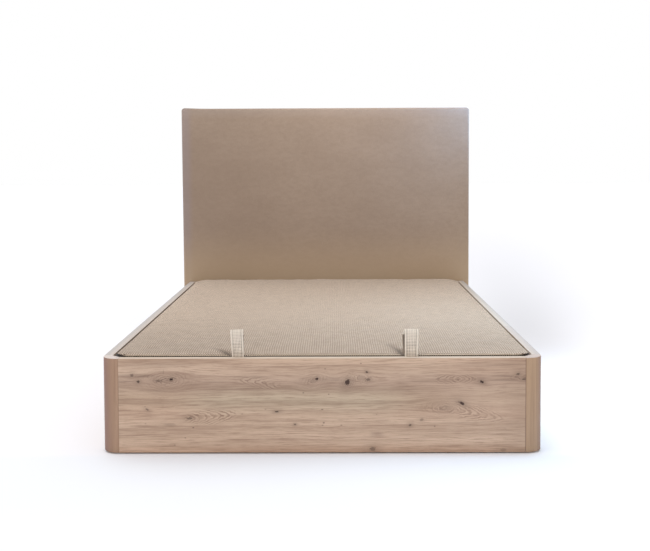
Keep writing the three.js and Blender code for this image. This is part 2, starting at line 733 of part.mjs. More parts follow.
// Bolts from inside the box through the rear panel into the uprights
function addHeadboardBolts() {
  const headOuter = innerHeadY - fitGap - boltHeadHeight;
  const headInner = innerHeadY - fitGap;
  const tip = boxRearY + coverFront + fitGap + frontBoardThickness + railThickness + boltEngagement;
  const profile = [[0, headOuter], [boltHeadRadius, headOuter], [boltHeadRadius, headInner],
    [boltRadius, headInner], [boltRadius, tip], [0, tip]];
  for (const { name, sign } of sides) {
    const mesh = addMesh(headboard, `headboard_${name}_bolt`, lathe(profile), materials.zincSteel);
    mesh.position.set(sign * uprightCentre, 0, boltHeight);
  }
}

addCrossPanels();
addSidePanels();
addCornerPosts();
addGlides();
addLedges();
addFloorBoards();
addBrackets();
addRestBlocks();
addBasePlates();
addPivotPins();
addLidFrame();
addLidTop();
addHingeArms();
addPullStraps();
addGasSprings();
addHeadboardCover();
addHeadboardFrame();
addHeadboardBolts();

export default bed;
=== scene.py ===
"""Looks for the storage bed: oak box, fabric lid that lifts, pull straps and a padded headboard."""

import math

import bmesh
import bpy
import numpy as np
from mathutils import Matrix, Vector


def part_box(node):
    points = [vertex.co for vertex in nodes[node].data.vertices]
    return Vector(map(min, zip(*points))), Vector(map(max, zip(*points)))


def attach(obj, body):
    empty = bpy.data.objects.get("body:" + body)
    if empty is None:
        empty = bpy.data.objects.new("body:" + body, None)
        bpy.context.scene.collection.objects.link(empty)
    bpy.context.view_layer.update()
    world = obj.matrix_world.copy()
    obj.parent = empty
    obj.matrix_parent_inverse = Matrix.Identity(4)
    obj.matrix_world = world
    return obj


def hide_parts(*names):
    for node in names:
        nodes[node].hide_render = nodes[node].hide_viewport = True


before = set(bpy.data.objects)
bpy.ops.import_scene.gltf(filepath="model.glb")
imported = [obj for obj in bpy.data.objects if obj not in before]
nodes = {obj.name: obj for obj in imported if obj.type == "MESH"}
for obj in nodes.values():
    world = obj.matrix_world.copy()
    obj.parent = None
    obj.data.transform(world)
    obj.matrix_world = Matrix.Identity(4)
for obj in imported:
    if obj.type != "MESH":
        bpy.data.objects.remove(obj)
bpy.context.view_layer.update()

MM = 0.001
SIDES = (("left", -1), ("right", 1))


# Places that the CAD gives

def reach(node):
    """Low and high place of a CAD node on each axis."""
    low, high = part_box(node)
    return tuple(zip(low, high))


def middle(span):
    return sum(span) / 2


def both(pattern):
    """The left and the right one's name."""
    return [pattern.format(side) for side, _ in SIDES]


front_x, front_y, board_z = reach("front_panel")
rear_y = reach("rear_panel")[1]
lid_x, lid_y, pad_z = reach("lid_pad")
lid_board_z = reach("lid_board")[2]
cover_x, cover_y, cover_z = reach("headboard_cover")
tube_bottom = reach("lid_front_tube")[2][0]
inner_x, outer_x = reach("right_side_panel")[0]


# Shapes, made as by hand

def clear_selection():
    if bpy.context.mode != "OBJECT":
        bpy.ops.object.mode_set(mode="OBJECT")
    bpy.ops.object.select_all(action="DESELECT")


def make_active(piece):
    clear_selection()
    piece.select_set(True)
    bpy.context.view_layer.objects.active = piece


def settle(piece):
    """Puts the piece's place, turn and size into its mesh."""
    make_active(piece)
    bpy.ops.object.transform_apply(location=True, rotation=True, scale=True)


def named(piece, name):
    piece.name = name
    piece.data.name = name
    return piece


def block(name, x, y, z):
    clear_selection()
    middle = [(low + high) / 2 for low, high in (x, y, z)]
    bpy.ops.mesh.primitive_cube_add(size=1, location=middle)
    piece = named(bpy.context.object, name)
    piece.scale = [abs(high - low) for low, high in (x, y, z)]
    settle(piece)
    return piece


def open_for_edit(piece, kind):
    make_active(piece)
    bpy.ops.object.mode_set(mode="EDIT")
    bpy.ops.mesh.select_mode(type=kind)
    bpy.ops.mesh.select_all(action="DESELECT")
    return bmesh.from_edit_mesh(piece.data)


def pick_edges(piece, rule):
    """Opens the piece with only the edges selected that the rule accepts by their two ends."""
    work = open_for_edit(piece, "EDGE")
    for edge in work.edges:
        edge.select_set(bool(rule(edge.verts[0].co, edge.verts[1].co)))
    bmesh.update_edit_mesh(piece.data)


def pick_faces(piece, rule):
    """Opens the piece with only the faces selected that the rule accepts by centre and normal."""
    work = open_for_edit(piece, "FACE")
    for face in work.faces:
        face.select_set(bool(rule(face.calc_center_median(), face.normal)))
    bmesh.update_edit_mesh(piece.data)


def round_edges(piece, rule, radius, segments=3):
    pick_edges(piece, rule)
    bpy.ops.mesh.bevel(offset=radius, segments=segments, affect="EDGES", clamp_overlap=True)
    bpy.ops.object.mode_set(mode="OBJECT")


def apply_modifier(piece, kind, **settings):
    make_active(piece)
    modifier = piece.modifiers.new(kind.title(), kind)
    for name, value in settings.items():
        setattr(modifier, name, value)
    bpy.ops.object.modifier_apply(modifier=modifier.name)


def soften(piece, width, segments=2, angle=30):
    """Breaks the sharp edges and shades what is left smooth."""
    apply_modifier(piece, "BEVEL", width=width, segments=segments, limit_method="ANGLE",
                   angle_limit=math.radians(angle))
    smooth(piece)


def smooth(piece, angle=35):
    make_active(piece)
    bpy.ops.object.shade_smooth_by_angle(angle=math.radians(angle))


def cut_away(piece, cutter):
    apply_modifier(piece, "BOOLEAN", operation="DIFFERENCE", object=cutter, solver="EXACT")
    bpy.data.objects.remove(cutter, do_unlink=True)


def rod(name, start, end, radius, sides=24):
    """A round bar between two points."""
    clear_selection()
    start, end = Vector(start), Vector(end)
    along = end - start
    bpy.ops.mesh.primitive_cylinder_add(vertices=sides, radius=radius, depth=along.length,
                                        location=(start + end) / 2)
    piece = named(bpy.context.object, name)
    piece.rotation_euler = along.to_track_quat("Z", "Y").to_euler()
    settle(piece)
    return piece


def turned(name, rings, start=(0, 0, 0), along=(0, 0, 1), sides=24):
    """A turned part, drawn out of a disc from ring to ring; each ring is a radius and a height."""
    clear_selection()
    radius, height = rings[0]
    bpy.ops.mesh.primitive_circle_add(vertices=sides, radius=radius, fill_type="NGON",
                                      location=(0, 0, height))
    piece = named(bpy.context.object, name)
    settle(piece)
    bpy.ops.object.mode_set(mode="EDIT")
    bpy.ops.mesh.select_all(action="SELECT")
    for wider, higher in rings[1:]:
        bpy.ops.mesh.extrude_region_move(TRANSFORM_OT_translate={"value": (0, 0, higher - height)})
        bpy.ops.transform.resize(value=(wider / radius, wider / radius, 1), center_override=(0, 0, higher))
        radius, height = wider, higher
    bpy.ops.object.mode_set(mode="OBJECT")
    recalculate(piece)
    piece.data.transform(stand_on(start, along))
    return piece


def stand_on(point, way):
    """The move that stands a shape made on the origin on a point, its top the given way."""
    return Matrix.Translation(Vector(point)) @ Vector(way).to_track_quat("Z", "Y").to_matrix().to_4x4()


def in_mm(*rings):
    return [(radius * MM, height * MM) for radius, height in rings]


def recalculate(piece):
    make_active(piece)
    bpy.ops.object.mode_set(mode="EDIT")
    bpy.ops.mesh.select_all(action="SELECT")
    bpy.ops.mesh.normals_make_consistent(inside=False)
    bpy.ops.object.mode_set(mode="OBJECT")


def head_with_recess(name, radius, height, recess, sides, outline):
    """A screw or bolt head on the origin, facing up, with a recess whose outline is given by angle."""
    piece = turned(name, ((radius * 0.92, 0), (radius, 0.2 * height), (radius * 0.96, 0.62 * height),
                          (radius * 0.7, height)), sides=sides)
    pick_faces(piece, lambda centre, normal: normal.z > 0.9 and centre.z > 0.9 * height)
    bpy.ops.mesh.inset(thickness=radius * 0.7 - recess)
    work = bmesh.from_edit_mesh(piece.data)
    for face in work.faces:
        if face.select:
            for corner in face.verts:
                angle = math.atan2(corner.co.y, corner.co.x)
                share, turn = outline(angle)
                corner.co.x = recess * share * math.cos(turn)
                corner.co.y = recess * share * math.sin(turn)
    bmesh.update_edit_mesh(piece.data)
    bpy.ops.mesh.extrude_region_move(TRANSFORM_OT_translate={"value": (0, 0, -0.6 * height)})
    bpy.ops.transform.resize(value=(0.8, 0.8, 1), center_override=(0, 0, 0))
    bpy.ops.object.mode_set(mode="OBJECT")
    smooth(piece, 40)
    return piece


def cross_outline(angle):
    """Four arms: the points between them come in, those beside them close up."""
    turn = angle % (math.pi / 2)
    base = angle - turn
    if turn < 0.2 or turn > math.pi / 2 - 0.2:
        return 1.0, angle
    if abs(turn - math.pi / 4) < 0.2:
        return 0.42, angle
    return 1.0, base + (0.22 if turn < math.pi / 4 else math.pi / 2 - 0.22)


def hexagon_outline(angle):
    turn = angle % (math.pi / 3) - math.pi / 6
    return math.cos(math.pi / 6) / math.cos(turn), angle


def points_of(piece):
    places = np.empty(len(piece.data.vertices) * 3)
    piece.data.vertices.foreach_get("co", places)
    return places.reshape(-1, 3)


def move_points(piece, places):
    piece.data.vertices.foreach_set("co", np.asarray(places, float).reshape(-1))
    piece.data.update()


def joined(name, pieces):
    clear_selection()
    for piece in pieces:
        piece.select_set(True)
    bpy.context.view_layer.objects.active = pieces[0]
    bpy.ops.object.join()
    return named(bpy.context.object, name)


def copies(name, model, moves):
    """One piece made of a copy of the model for each move of it."""
    made = []
    for move in moves:
        copy = model.copy()
        copy.data = model.data.copy()
        bpy.context.collection.objects.link(copy)
        copy.data.transform(move)
        made.append(copy)
    return joined(name, made)


def paint(piece, *finishes):
    """Gives the piece its finishes, keeping which face has which."""
    which = [face.material_index for face in piece.data.polygons]
    piece.data.materials.clear()
    for finish in finishes:
        piece.data.materials.append(finish)
    piece.data.polygons.foreach_set("material_index", which)


def face_finishes(piece, rule):
    """Sets each face's finish by number, from its centre and normal."""
    for face in piece.data.polygons:
        face.material_index = rule(face.center, face.normal)


def place(piece, body, slot, *replaced):
    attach(piece, body)
    if replaced:
        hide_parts(*replaced)
    return piece


# Finishes

def linear(red, green, blue):
    """A colour from its 0 to 255 screen values."""
    values = []
    for level in (red, green, blue):
        share = level / 255
        values.append(share / 12.92 if share <= 0.04045 else ((share + 0.055) / 1.055) ** 2.4)
    return (*values, 1.0)


def arithmetic(operation, swapped=False):
    """A sign's meaning for values: the Math node that it adds."""
    def apply(value, other):
        return value.graph.math(operation, *((other, value) if swapped else (value, other)))
    return apply


class Value:
    """What a node puts out. Plain arithmetic on it adds the nodes that work it out."""

    def __init__(self, graph, socket):
        self.graph = graph
        self.socket = socket

    __add__ = arithmetic("ADD")
    __radd__ = arithmetic("ADD", True)
    __sub__ = arithmetic("SUBTRACT")
    __rsub__ = arithmetic("SUBTRACT", True)
    __mul__ = arithmetic("MULTIPLY")
    __rmul__ = arithmetic("MULTIPLY", True)
    __truediv__ = arithmetic("DIVIDE")
    __rtruediv__ = arithmetic("DIVIDE", True)
    __pow__ = arithmetic("POWER")

    def __abs__(self):
        return self.graph.math("ABSOLUTE", self)


class Graph:
    """Short calls for the nodes that the finishes are made of."""

    def __init__(self, tree):
        self.tree = tree

    def node(self, kind, **settings):
        node = self.tree.nodes.new("ShaderNode" + kind)
        for name, value in settings.items():
            setattr(node, name, value)
        return node

    def feed(self, socket, value):
        if isinstance(value, Value):
            self.tree.links.new(value.socket, socket)
        else:
            socket.default_value = value

    def made(self, kind, values, output=0, **settings):
        """A node fed with values by the number or name of its inputs, and what it puts out."""
        node = self.node(kind, **settings)
        for place, value in values.items():
            self.feed(node.inputs[place], value)
        return Value(self, node.outputs[output])

    def math(self, operation, *values):
        return self.made("Math", dict(enumerate(values)), operation=operation)

    def hypotenuse(self, first, second):
        return self.math("SQRT", first * first + second * second)

    def fade(self, value, low, high, start=0.0, end=1.0):
        """Rises smoothly from start to end as the value goes from low to high."""
        return self.made("MapRange", dict(enumerate((value, low, high, start, end))),
                         interpolation_type="SMOOTHSTEP")

    def fall(self, value, low, high):
        return self.fade(value, low, high, 1.0, 0.0)

    def join(self, x=0.0, y=0.0, z=0.0):
        return self.made("CombineXYZ", {0: x, 1: y, 2: z})

    def parts(self, vector):
        node = self.node("SeparateXYZ")
        self.feed(node.inputs[0], vector)
        return [Value(self, output) for output in node.outputs]

    def object_place(self):
        """The place on the object, and its three parts in metres."""
        place = self.made("TexCoord", {}, "Object")
        return (place, *self.parts(place))

    def stretched(self, vector, x, y, z):
        return self.made("Mapping", {"Vector": vector, "Scale": (x, y, z)})

    def noise(self, vector, scale=1.0, detail=2.0, rough=0.5):
        values = {"Vector": vector, "Scale": scale, "Detail": detail, "Roughness": rough}
        return self.made("TexNoise", values, "Fac")

    def mix(self, share, first, second, blend="MIX"):
        return self.made("Mix", {0: share, 6: first, 7: second}, 2, data_type="RGBA", blend_type=blend)

    def ramp(self, share, *stops):
        """Colours at places from 0 to 1, eased between them."""
        node = self.node("ValToRGB")
        self.feed(node.inputs[0], share)
        node.color_ramp.interpolation = "EASE"
        steps = node.color_ramp.elements
        while len(steps) < len(stops):
            steps.new(0.5)
        for step, (position, colour) in zip(steps, stops):
            step.position = position
            step.color = colour
        return Value(self, node.outputs[0])

    def group(self, make, **values):
        """Places a shared effect, whose node group is made at its first use. Gives its outputs by name."""
        if make not in EFFECT_GROUPS:
            EFFECT_GROUPS[make] = effect_group(make, list(values))
        node = self.node("Group")
        node.node_tree = EFFECT_GROUPS[make]
        for name, value in values.items():
            self.feed(node.inputs[socket_label(name)], value)
        return {output.name.lower(): Value(self, output) for output in node.outputs}

    def seen(self):
        """1 where the camera, a reflection or clear matter looks, 0 for the light that falls on things."""
        ways = [self.made("LightPath", {}, f"Is {way} Ray") for way in ("Camera", "Glossy", "Transmission")]
        return self.math("MAXIMUM", ways[0], self.math("MAXIMUM", *ways[1:]))


def shaded(name, paint_it, **constants):
    """A finish. From the graph and the place, paint_it gives colour, roughness, bump and bump depth."""
    material = bpy.data.materials.new(name)
    material.use_nodes = True
    graph = Graph(material.node_tree)
    shader = material.node_tree.nodes["Principled BSDF"]
    for label, value in constants.items():
        shader.inputs[label.replace("_", " ")].default_value = value
    colour, roughness, height, depth = paint_it(graph, *graph.object_place())
    graph.feed(shader.inputs["Base Color"], colour)
    graph.feed(shader.inputs["Roughness"], roughness)
    bump = graph.made("Bump", {"Strength": 1.0, "Distance": depth, "Height": height})
    graph.feed(shader.inputs["Normal"], bump)
    return material


# Shared effects

VECTORS = ("grain", "place")
EFFECT_GROUPS = {}


def socket_label(name):
    return name.replace("_", " ").capitalize()


def effect_group(make, names):
    """The node group of an effect, with the named inputs. What make gives by name are its outputs."""
    tree = bpy.data.node_groups.new(make.__name__, "ShaderNodeTree")
    graph = Graph(tree)

    def add_sockets(labels, way):
        for label in labels:
            kind = "NodeSocketVector" if label in VECTORS else "NodeSocketFloat"
            tree.interface.new_socket(socket_label(label), in_out=way, socket_type=kind)

    add_sockets(names, "INPUT")
    entry = tree.nodes.new("NodeGroupInput")
    made = make(graph, **{name: Value(graph, entry.outputs[socket_label(name)]) for name in names})
    add_sockets(made, "OUTPUT")
    leave = tree.nodes.new("NodeGroupOutput")
    for name, value in made.items():
        graph.feed(leave.inputs[socket_label(name)], value)
    return tree


def knot_effect(graph, grain, shade, figure, arcs, wobble, ragged, place_along, place_across, radius,
                stretch, tilt, rings, core):
    """A knot: grain lines swerve round it, with faint rings, a dark core and a brown halo.
    The grain vector is the place along and across the board and the growth line that runs there."""
    ring_pitch = 6 * MM
    along, across, line = graph.parts(grain)
    du = along - place_along
    dv = across - place_across
    cosine = graph.math("COSINE", tilt)
    sine = graph.math("SINE", tilt)
    far = graph.hypotenuse((du * cosine + dv * sine) / stretch, dv * cosine - du * sine)
    ripple = graph.math("SINE", (far + wobble * 0.014) * (2 * math.pi / ring_pitch))
    far = far / radius
    share = graph.math("EXPONENT", far * far * -0.11) * rings
    swerve = share * 0.9
    bent = place_across * swerve + line * (1.0 - swerve)
    dark = graph.fall(far * (ragged * 1.7 + 0.15), 0.6, 1.15)
    halo = graph.math("EXPONENT", far * far * -0.16) * 0.32
    spot = graph.math("MAXIMUM", dark, halo) * core
    return {"grain": graph.join(along, across, bent), "shade": graph.math("MAXIMUM", shade, spot),
            "figure": graph.math("MAXIMUM", figure, share), "arcs": arcs + ripple * share * 0.7}


def arches_effect(graph, grain, figure, arcs, wobble, place_along, place_across, half_length, half_height,
                  sense, tilt, strength):
    """Nested arches of flat-sawn grain, one inside the other, their tips all one way."""
    arch_pitch = 8.2 * MM
    along, across, line = graph.parts(grain)
    du = along - place_along
    dv = (across - place_across - du * tilt) / half_height
    du = du / half_length
    share = graph.fall(graph.hypotenuse(du, dv), 0.5, 1.15) * strength
    tips = (abs(dv) ** 1.5 + du * sense * 1.15) * half_height + wobble * 0.012
    ripple = graph.math("SINE", tips * (2 * math.pi / arch_pitch))
    return {"grain": graph.join(along, across, line), "figure": graph.math("MAXIMUM", figure, share),
            "arcs": arcs + ripple * share}


def mark_effect(graph, grain, shade, place_along, place_across, half_length, half_height, core):
    """A soft dark spot or streak."""
    along, across, _ = graph.parts(grain)
    far = graph.hypotenuse((along - place_along) / half_length, (across - place_across) / half_height)
    spot = graph.fall(far, 0.2, 1.0) * core
    return {"shade": graph.math("MAXIMUM", shade, spot)}


def grain_effect(graph, along, phase, depth, coarse):
    """Wood grain along one axis: broad bands, growth lines and pores."""
    def layer(slow, fast, detail, rough):
        return graph.noise(graph.join(along * slow, phase * coarse * fast, depth), 1.0, detail, rough)

    return {"bands": layer(1.1, 26.0, 3.0, 0.55), "lines": layer(3.0, 150.0, 3.0, 0.6),
            "pores": graph.fade(layer(42.0, 900.0, 2.0, 0.6), 0.56, 0.72)}


def mottle_effect(graph, place, size):
    """Uneven colour over a surface, as of dye, handling or settled dust."""
    scale = 1.0 / size
    return {"broad": graph.noise(place, scale, 3.0, 0.55),
            "fine": graph.noise(place, scale * 9.0, 3.0, 0.6)}


def weave_effect(graph, first, second, pitch):
    """Plain weave: threads along two axes that pass over and under each other."""
    one, two = (graph.math("SINE", value * (math.pi / pitch)) for value in (first, second))
    return {"height": abs(one * two) * 0.7 + one * two * 0.3}


def honeycomb_effect(graph, first, second, pitch):
    """Rows of round holes set like a honeycomb, with ribs between them along the second axis."""
    def to_nearest(shift):
        return graph.hypotenuse(*(graph.math("WRAP", value + size * shift, size * 0.5, size * -0.5)
                                  for value, size in ((first, pitch), (second, pitch * math.sqrt(3)))))

    nearest = graph.math("MINIMUM", to_nearest(0.0), to_nearest(0.5))
    rib = graph.math("COSINE", first * (2 * math.pi / pitch))
    return {"hole": graph.fall(nearest / pitch, 0.2, 0.4), "rib": rib * 0.5 + 0.5}


# Oak figure of the front board, measured on its face in millimetres from the middle and the floor

FRONT_KNOTS = (
    # along, height, radius, stretch, tilt in degrees, rings, core
    (-607, 254, 5, 1.3, 35, 0.3, 0.6),
    (-587, 234, 4.5, 1.4, 0, 0.3, 0.85),
    (-481, 241, 4.5, 1.6, 10, 0.5, 1.0),
    (-494, 238, 12, 2.2, 0, 1.0, 0.22),
    (-522, 236, 5, 2.6, 0, 0.4, 0.5),
    (-15, 242, 4.5, 1.2, 0, 0.4, 1.0),
    (-25, 236, 9, 1.7, 20, 0.9, 0.3),
    (-559, 144, 3.5, 1.8, -30, 0.2, 0.6),
    (-423, 115, 4, 2.8, 5, 0.5, 0.65),
    (-144, 136, 3, 2.4, 0, 0.3, 0.85),
    (-86, 95, 3.5, 1.4, 10, 0.2, 0.65),
    (82, 231, 9, 1.25, 60, 0.7, 0.95),
    (144, 263, 4, 1.2, -40, 0.2, 0.8),
    (148, 239, 5, 1.8, 0, 0.7, 0.65),
    (126, 244, 9, 2.0, 0, 0.6, 0.25),
    (319, 109, 5, 1.4, 0, 0.4, 0.45),
    (282, 92, 4, 1.3, 20, 0.2, 0.7),
    (510, 231, 4.5, 1.7, -25, 0.3, 1.0),
    (625, 256, 4.5, 1.3, 20, 0.2, 0.7),
    (644, 239, 3.5, 2.0, 0, 0.2, 0.6),
    (447, 162, 5, 2.2, -30, 0.4, 0.95),
    (395, 147, 10, 2.6, 0, 1.0, 0.2),
    (162, 15, 8, 1.4, 0, 0.4, 0.6),
    (579, 11, 6, 1.8, 0, 0.2, 0.35),
)
FRONT_ARCHES = (
    # along, height, half length, half height, sense, tilt, strength
    (-353, 121, 92, 30, 1, 0.09, 1.0),
    (-199, 231, 85, 24, -1, -0.14, 0.7),
    (400, 240, 48, 17, -1, 0.0, 1.0),
    (462, 240, 40, 17, 1, 0.0, 1.0),
    (632, 247, 50, 16, -1, 0.12, 0.6),
    (488, 130, 105, 30, 1, -0.2, 0.85),
)
FRONT_MARKS = (
    # along, height, half length, half height, core
    (-59, 197, 4, 3, 0.6), (125, 291, 4, 3, 0.55), (11, 274, 4, 3, 0.55), (22, 192, 4, 3, 0.55),
    (1, 143, 6, 2.5, 0.65), (6, 100, 5, 4, 0.6), (2, 92, 5, 3, 0.45), (62, 92, 5, 3, 0.45),
    (360, 88, 4, 4, 0.45), (-412, 85, 5, 3, 0.6), (-438, 52, 4, 3, 0.5), (-472, 28, 5, 4, 0.3),
    (175, 127, 3, 2, 0.4), (-566, 153, 3, 2.5, 0.5), (-180, 144, 5, 3, 0.35), (-565, 98, 5, 3, 0.3),
    (-255, 129, 4, 3, 0.3), (-587, 252, 95, 9, 0.26), (-624, 234, 45, 2, 0.42), (-144, 136, 26, 4, 0.3),
    (-487, 94, 30, 8, 0.24), (175, 63, 34, 15, 0.2), (44, 238, 30, 2.4, 0.42), (-351, 232, 55, 3, 0.22),
    (578, 236, 75, 4, 0.25), (582, 250, 60, 5, 0.18), (-506, 265, 1.2, 13, 0.5), (32, 218, 160, 7, 0.1),
    (-533, 205, 90, 7, 0.12), (-224, 248, 120, 6, 0.12), (327, 232, 80, 5, 0.14), (415, 176, 40, 2, 0.22),
    (-56, 231, 60, 4, 0.14), (465, 100, 120, 5, 0.12), (248, 204, 90, 4, 0.08), (-510, 288, 170, 16, 0.15),
    (520, 288, 170, 16, 0.13), (10, 238, 130, 18, 0.17), (-517, 162, 110, 18, 0.08),
)
SIDE_KNOTS = (
    (-720, 210, 7, 1.6, 20, 0.8, 1.0), (-560, 96, 5, 2.4, -20, 0.4, 0.7),
    (-300, 232, 6, 1.5, 0, 0.6, 0.9), (-120, 120, 9, 1.8, -30, 0.9, 1.0),
    (150, 60, 4, 1.6, 10, 0.3, 0.7), (330, 205, 8, 1.4, 40, 0.8, 1.0),
    (470, 130, 5, 3.5, 0, 0.4, 0.7), (690, 245, 5, 1.6, -20, 0.4, 0.8),
    (820, 90, 7, 1.5, 30, 0.8, 0.9),
)
SIDE_ARCHES = (
    (-450, 170, 140, 26, 1, 0.1, 1.0), (60, 190, 120, 24, -1, 0.0, 1.0), (560, 70, 150, 24, 1, -0.1, 1.0),
)
SIDE_MARKS = (
    (-820, 60, 5, 4, 0.6), (-640, 260, 130, 12, 0.25), (-210, 50, 6, 3, 0.5), (20, 262, 5, 3, 0.6),
    (240, 150, 160, 10, 0.2), (410, 35, 5, 4, 0.6), (600, 180, 4, 3, 0.6), (760, 160, 120, 9, 0.2),
)

LID_BASE = linear(171, 151, 134)
LID_PALE = linear(226, 202, 180)
OAK_PALE = linear(211, 188, 168)
OAK_MIDDLE = linear(181, 157, 138)
OAK_DARK = linear(146, 119, 103)
OAK_RING = linear(120, 92, 76)
OAK_KNOT = linear(52, 27, 19)
OAK_LIGHT = linear(212, 192, 172)
OAK_STREAK = linear(152, 127, 109)


def front_tone(graph, colour, x, z, wander, tint):
    """The front board's changes of tone by height and side, and the dark joint at its right post."""
    height = (z + (wander - 0.5) * 0.05) / board_z[1]
    colour = graph.mix(1.0, colour, graph.ramp(height, *tint), "MULTIPLY")
    halfway = (z - 0.165) / 0.045
    halfway = graph.math("EXPONENT", halfway * halfway * -1.0)
    off_middle = graph.fade(abs(x + 0.08), 0.22, 0.45)
    colour = graph.mix(halfway * off_middle, colour, linear(255, 245, 243), "MULTIPLY")
    to_right = halfway * graph.fade(x, 0.3, 0.45)
    colour = graph.mix(to_right * 0.3, colour, linear(214, 186, 165))
    joint = graph.fade(abs(x), front_x[1] - 2.4 * MM, front_x[1] - 1.2 * MM)
    right_end = graph.fade(x, 0.54, 0.64)
    colour = graph.mix(right_end, colour, linear(241, 239, 237), "MULTIPLY")
    upper_right = graph.fade(x, 0.3, 0.45) * graph.fade(z, 0.2, 0.27)
    colour = graph.mix(upper_right, colour, linear(249, 246, 245), "MULTIPLY")
    colour = graph.mix(joint * graph.fade(x, -0.1, 0.1, 0.0, 0.85), colour, OAK_RING)
    return colour


def oak(name, along_axis, depth, knots, arches, marks, offset=0.0, mirror=1.0, tint=None):
    """Oak board finish with its grain along X or Y and the figure on its standing faces."""
    def paint_it(graph, at, x, y, z):
        along = x if along_axis == "X" else y
        along = along * mirror + offset
        wander = graph.noise(graph.join(along * 1.3, z * 6.0, depth), detail=2.0)
        ripple = graph.noise(graph.join(along * 7.0, z * 16.0, depth), detail=2.0)
        wobble = graph.noise(graph.stretched(at, 70, 70, 70), detail=2.0)
        ragged = graph.noise(graph.stretched(at, 230, 230, 230), detail=2.0)
        phase = z + (wander - 0.5) * 0.03 + (ripple - 0.5) * 0.006
        lines_at = graph.join(along, z, phase)
        shade = figure = arcs = 0.0
        for u, v, long, high, sense, tilt, strength in arches:
            made = graph.group(arches_effect, grain=lines_at, figure=figure, arcs=arcs, wobble=wobble,
                               place_along=u * MM, place_across=v * MM, half_length=long * MM,
                               half_height=high * MM, sense=float(sense), tilt=tilt, strength=strength)
            lines_at, figure, arcs = made["grain"], made["figure"], made["arcs"]
        for u, v, radius, stretch, tilt, rings, core in knots:
            made = graph.group(knot_effect, grain=lines_at, shade=shade, figure=figure, arcs=arcs,
                               wobble=wobble, ragged=ragged, place_along=u * MM, place_across=v * MM,
                               radius=radius * MM, stretch=stretch, tilt=math.radians(tilt), rings=rings,
                               core=core)
            lines_at, shade, figure, arcs = made["grain"], made["shade"], made["figure"], made["arcs"]
        for u, v, long, high, core in marks:
            made = graph.group(mark_effect, grain=lines_at, shade=shade, place_along=u * MM,
                               place_across=v * MM, half_length=long * MM, half_height=high * MM, core=core)
            shade = made["shade"]
        phase = graph.parts(lines_at)[2]
        grain = graph.group(grain_effect, along=along, phase=phase, depth=depth, coarse=1.0)
        bands = graph.fade(grain["bands"], 0.33, 0.67)
        colour = graph.mix(bands, OAK_MIDDLE, OAK_PALE)
        lines = graph.fade(grain["lines"], 0.48, 0.74)
        colour = graph.mix(lines * 0.5, colour, OAK_DARK)
        streaks = graph.noise(graph.join(along * 13.0, phase * 290.0, depth), detail=4.0, rough=0.6)
        calm = 1.0 - figure * 0.5
        dark_streak = graph.fade(streaks, 0.5, 0.68) * calm * 0.6
        light_streak = graph.fade(streaks, 0.5, 0.32) * calm * 0.42
        colour = graph.mix(dark_streak, colour, OAK_STREAK)
        colour = graph.mix(light_streak, colour, OAK_LIGHT)
        uneven = graph.noise(graph.stretched(at, 38, 38, 90), detail=2.0)
        uneven = graph.fade(uneven, 0.35, 0.62, 0.25, 1.0)
        colour = graph.mix(figure * 0.16, colour, OAK_STREAK)
        colour = graph.mix(graph.fade(arcs, 0.0, 0.8) * uneven * 0.56, colour, OAK_RING)
        colour = graph.mix(graph.fade(arcs, 0.0, -0.8) * uneven * 0.45, colour, OAK_LIGHT)
        if tint:
            colour = front_tone(graph, colour, x, z, wander, tint)
        colour = graph.mix(grain["pores"] * 0.35, colour, OAK_DARK)
        colour = graph.mix(shade, colour, OAK_KNOT)
        gloss = 0.5 + lines * 0.12 + grain["pores"] * 0.1
        dents = lines * 0.5 + grain["pores"] + shade * 0.8
        return colour, gloss, 1.0 - dents, 0.00018
    return shaded(name, paint_it, Specular_IOR_Level=0.4)


# From the floor up: pale and pinkish, cooler in the middle, darker and pinker at the top
FRONT_TINT = (
    (0.0, linear(250, 236, 226)), (0.12, linear(255, 248, 242)), (0.38, linear(253, 247, 241)),
    (0.56, linear(238, 239, 232)), (0.76, linear(229, 221, 217)), (0.9, linear(248, 241, 236)),
    (1.0, linear(247, 238, 231)),
)


def straight_wood(name, along_axis, pale, middle, dark, coarse=1.0, strength=0.6, rough=0.62,
                  warp=0.02, outer=None, **constants):
    """Plain timber with grain along one axis, for posts and frame timbers."""
    def paint_it(graph, at, x, y, z):
        along, one, two = {"X": (x, y, z), "Y": (y, z, x), "Z": (z, x, y)}[along_axis]
        across = one + two * 0.8
        wander = graph.noise(graph.join(along * 1.5, across * 8.0), detail=2.0)
        phase = across + (wander - 0.5) * warp
        grain = graph.group(grain_effect, along=along, phase=phase, depth=0.3, coarse=coarse)
        colour = graph.mix(graph.fade(grain["bands"], 0.3, 0.7), middle, pale)
        lines = graph.fade(grain["lines"], 0.45, 0.75)
        colour = graph.mix(lines * strength, colour, dark)
        colour = graph.mix(grain["pores"] * 0.3, colour, dark)
        if outer:
            edge_x, tone, width = outer
            # Painted shade: the post darkens towards its outer side, where it turns away from the light.
            painted_side_shade = graph.fade(abs(x), edge_x - width, edge_x - 3 * MM)
            colour = graph.mix(painted_side_shade * tone, colour, linear(127, 93, 84))
        gloss = rough + lines * 0.12
        dents = lines * 0.6 + grain["pores"]
        return colour, gloss, 1.0 - dents, 0.0002
    return shaded(name, paint_it, **constants)


EDGE_GREY = linear(168, 165, 165)
EDGE_LINE = linear(128, 120, 118)


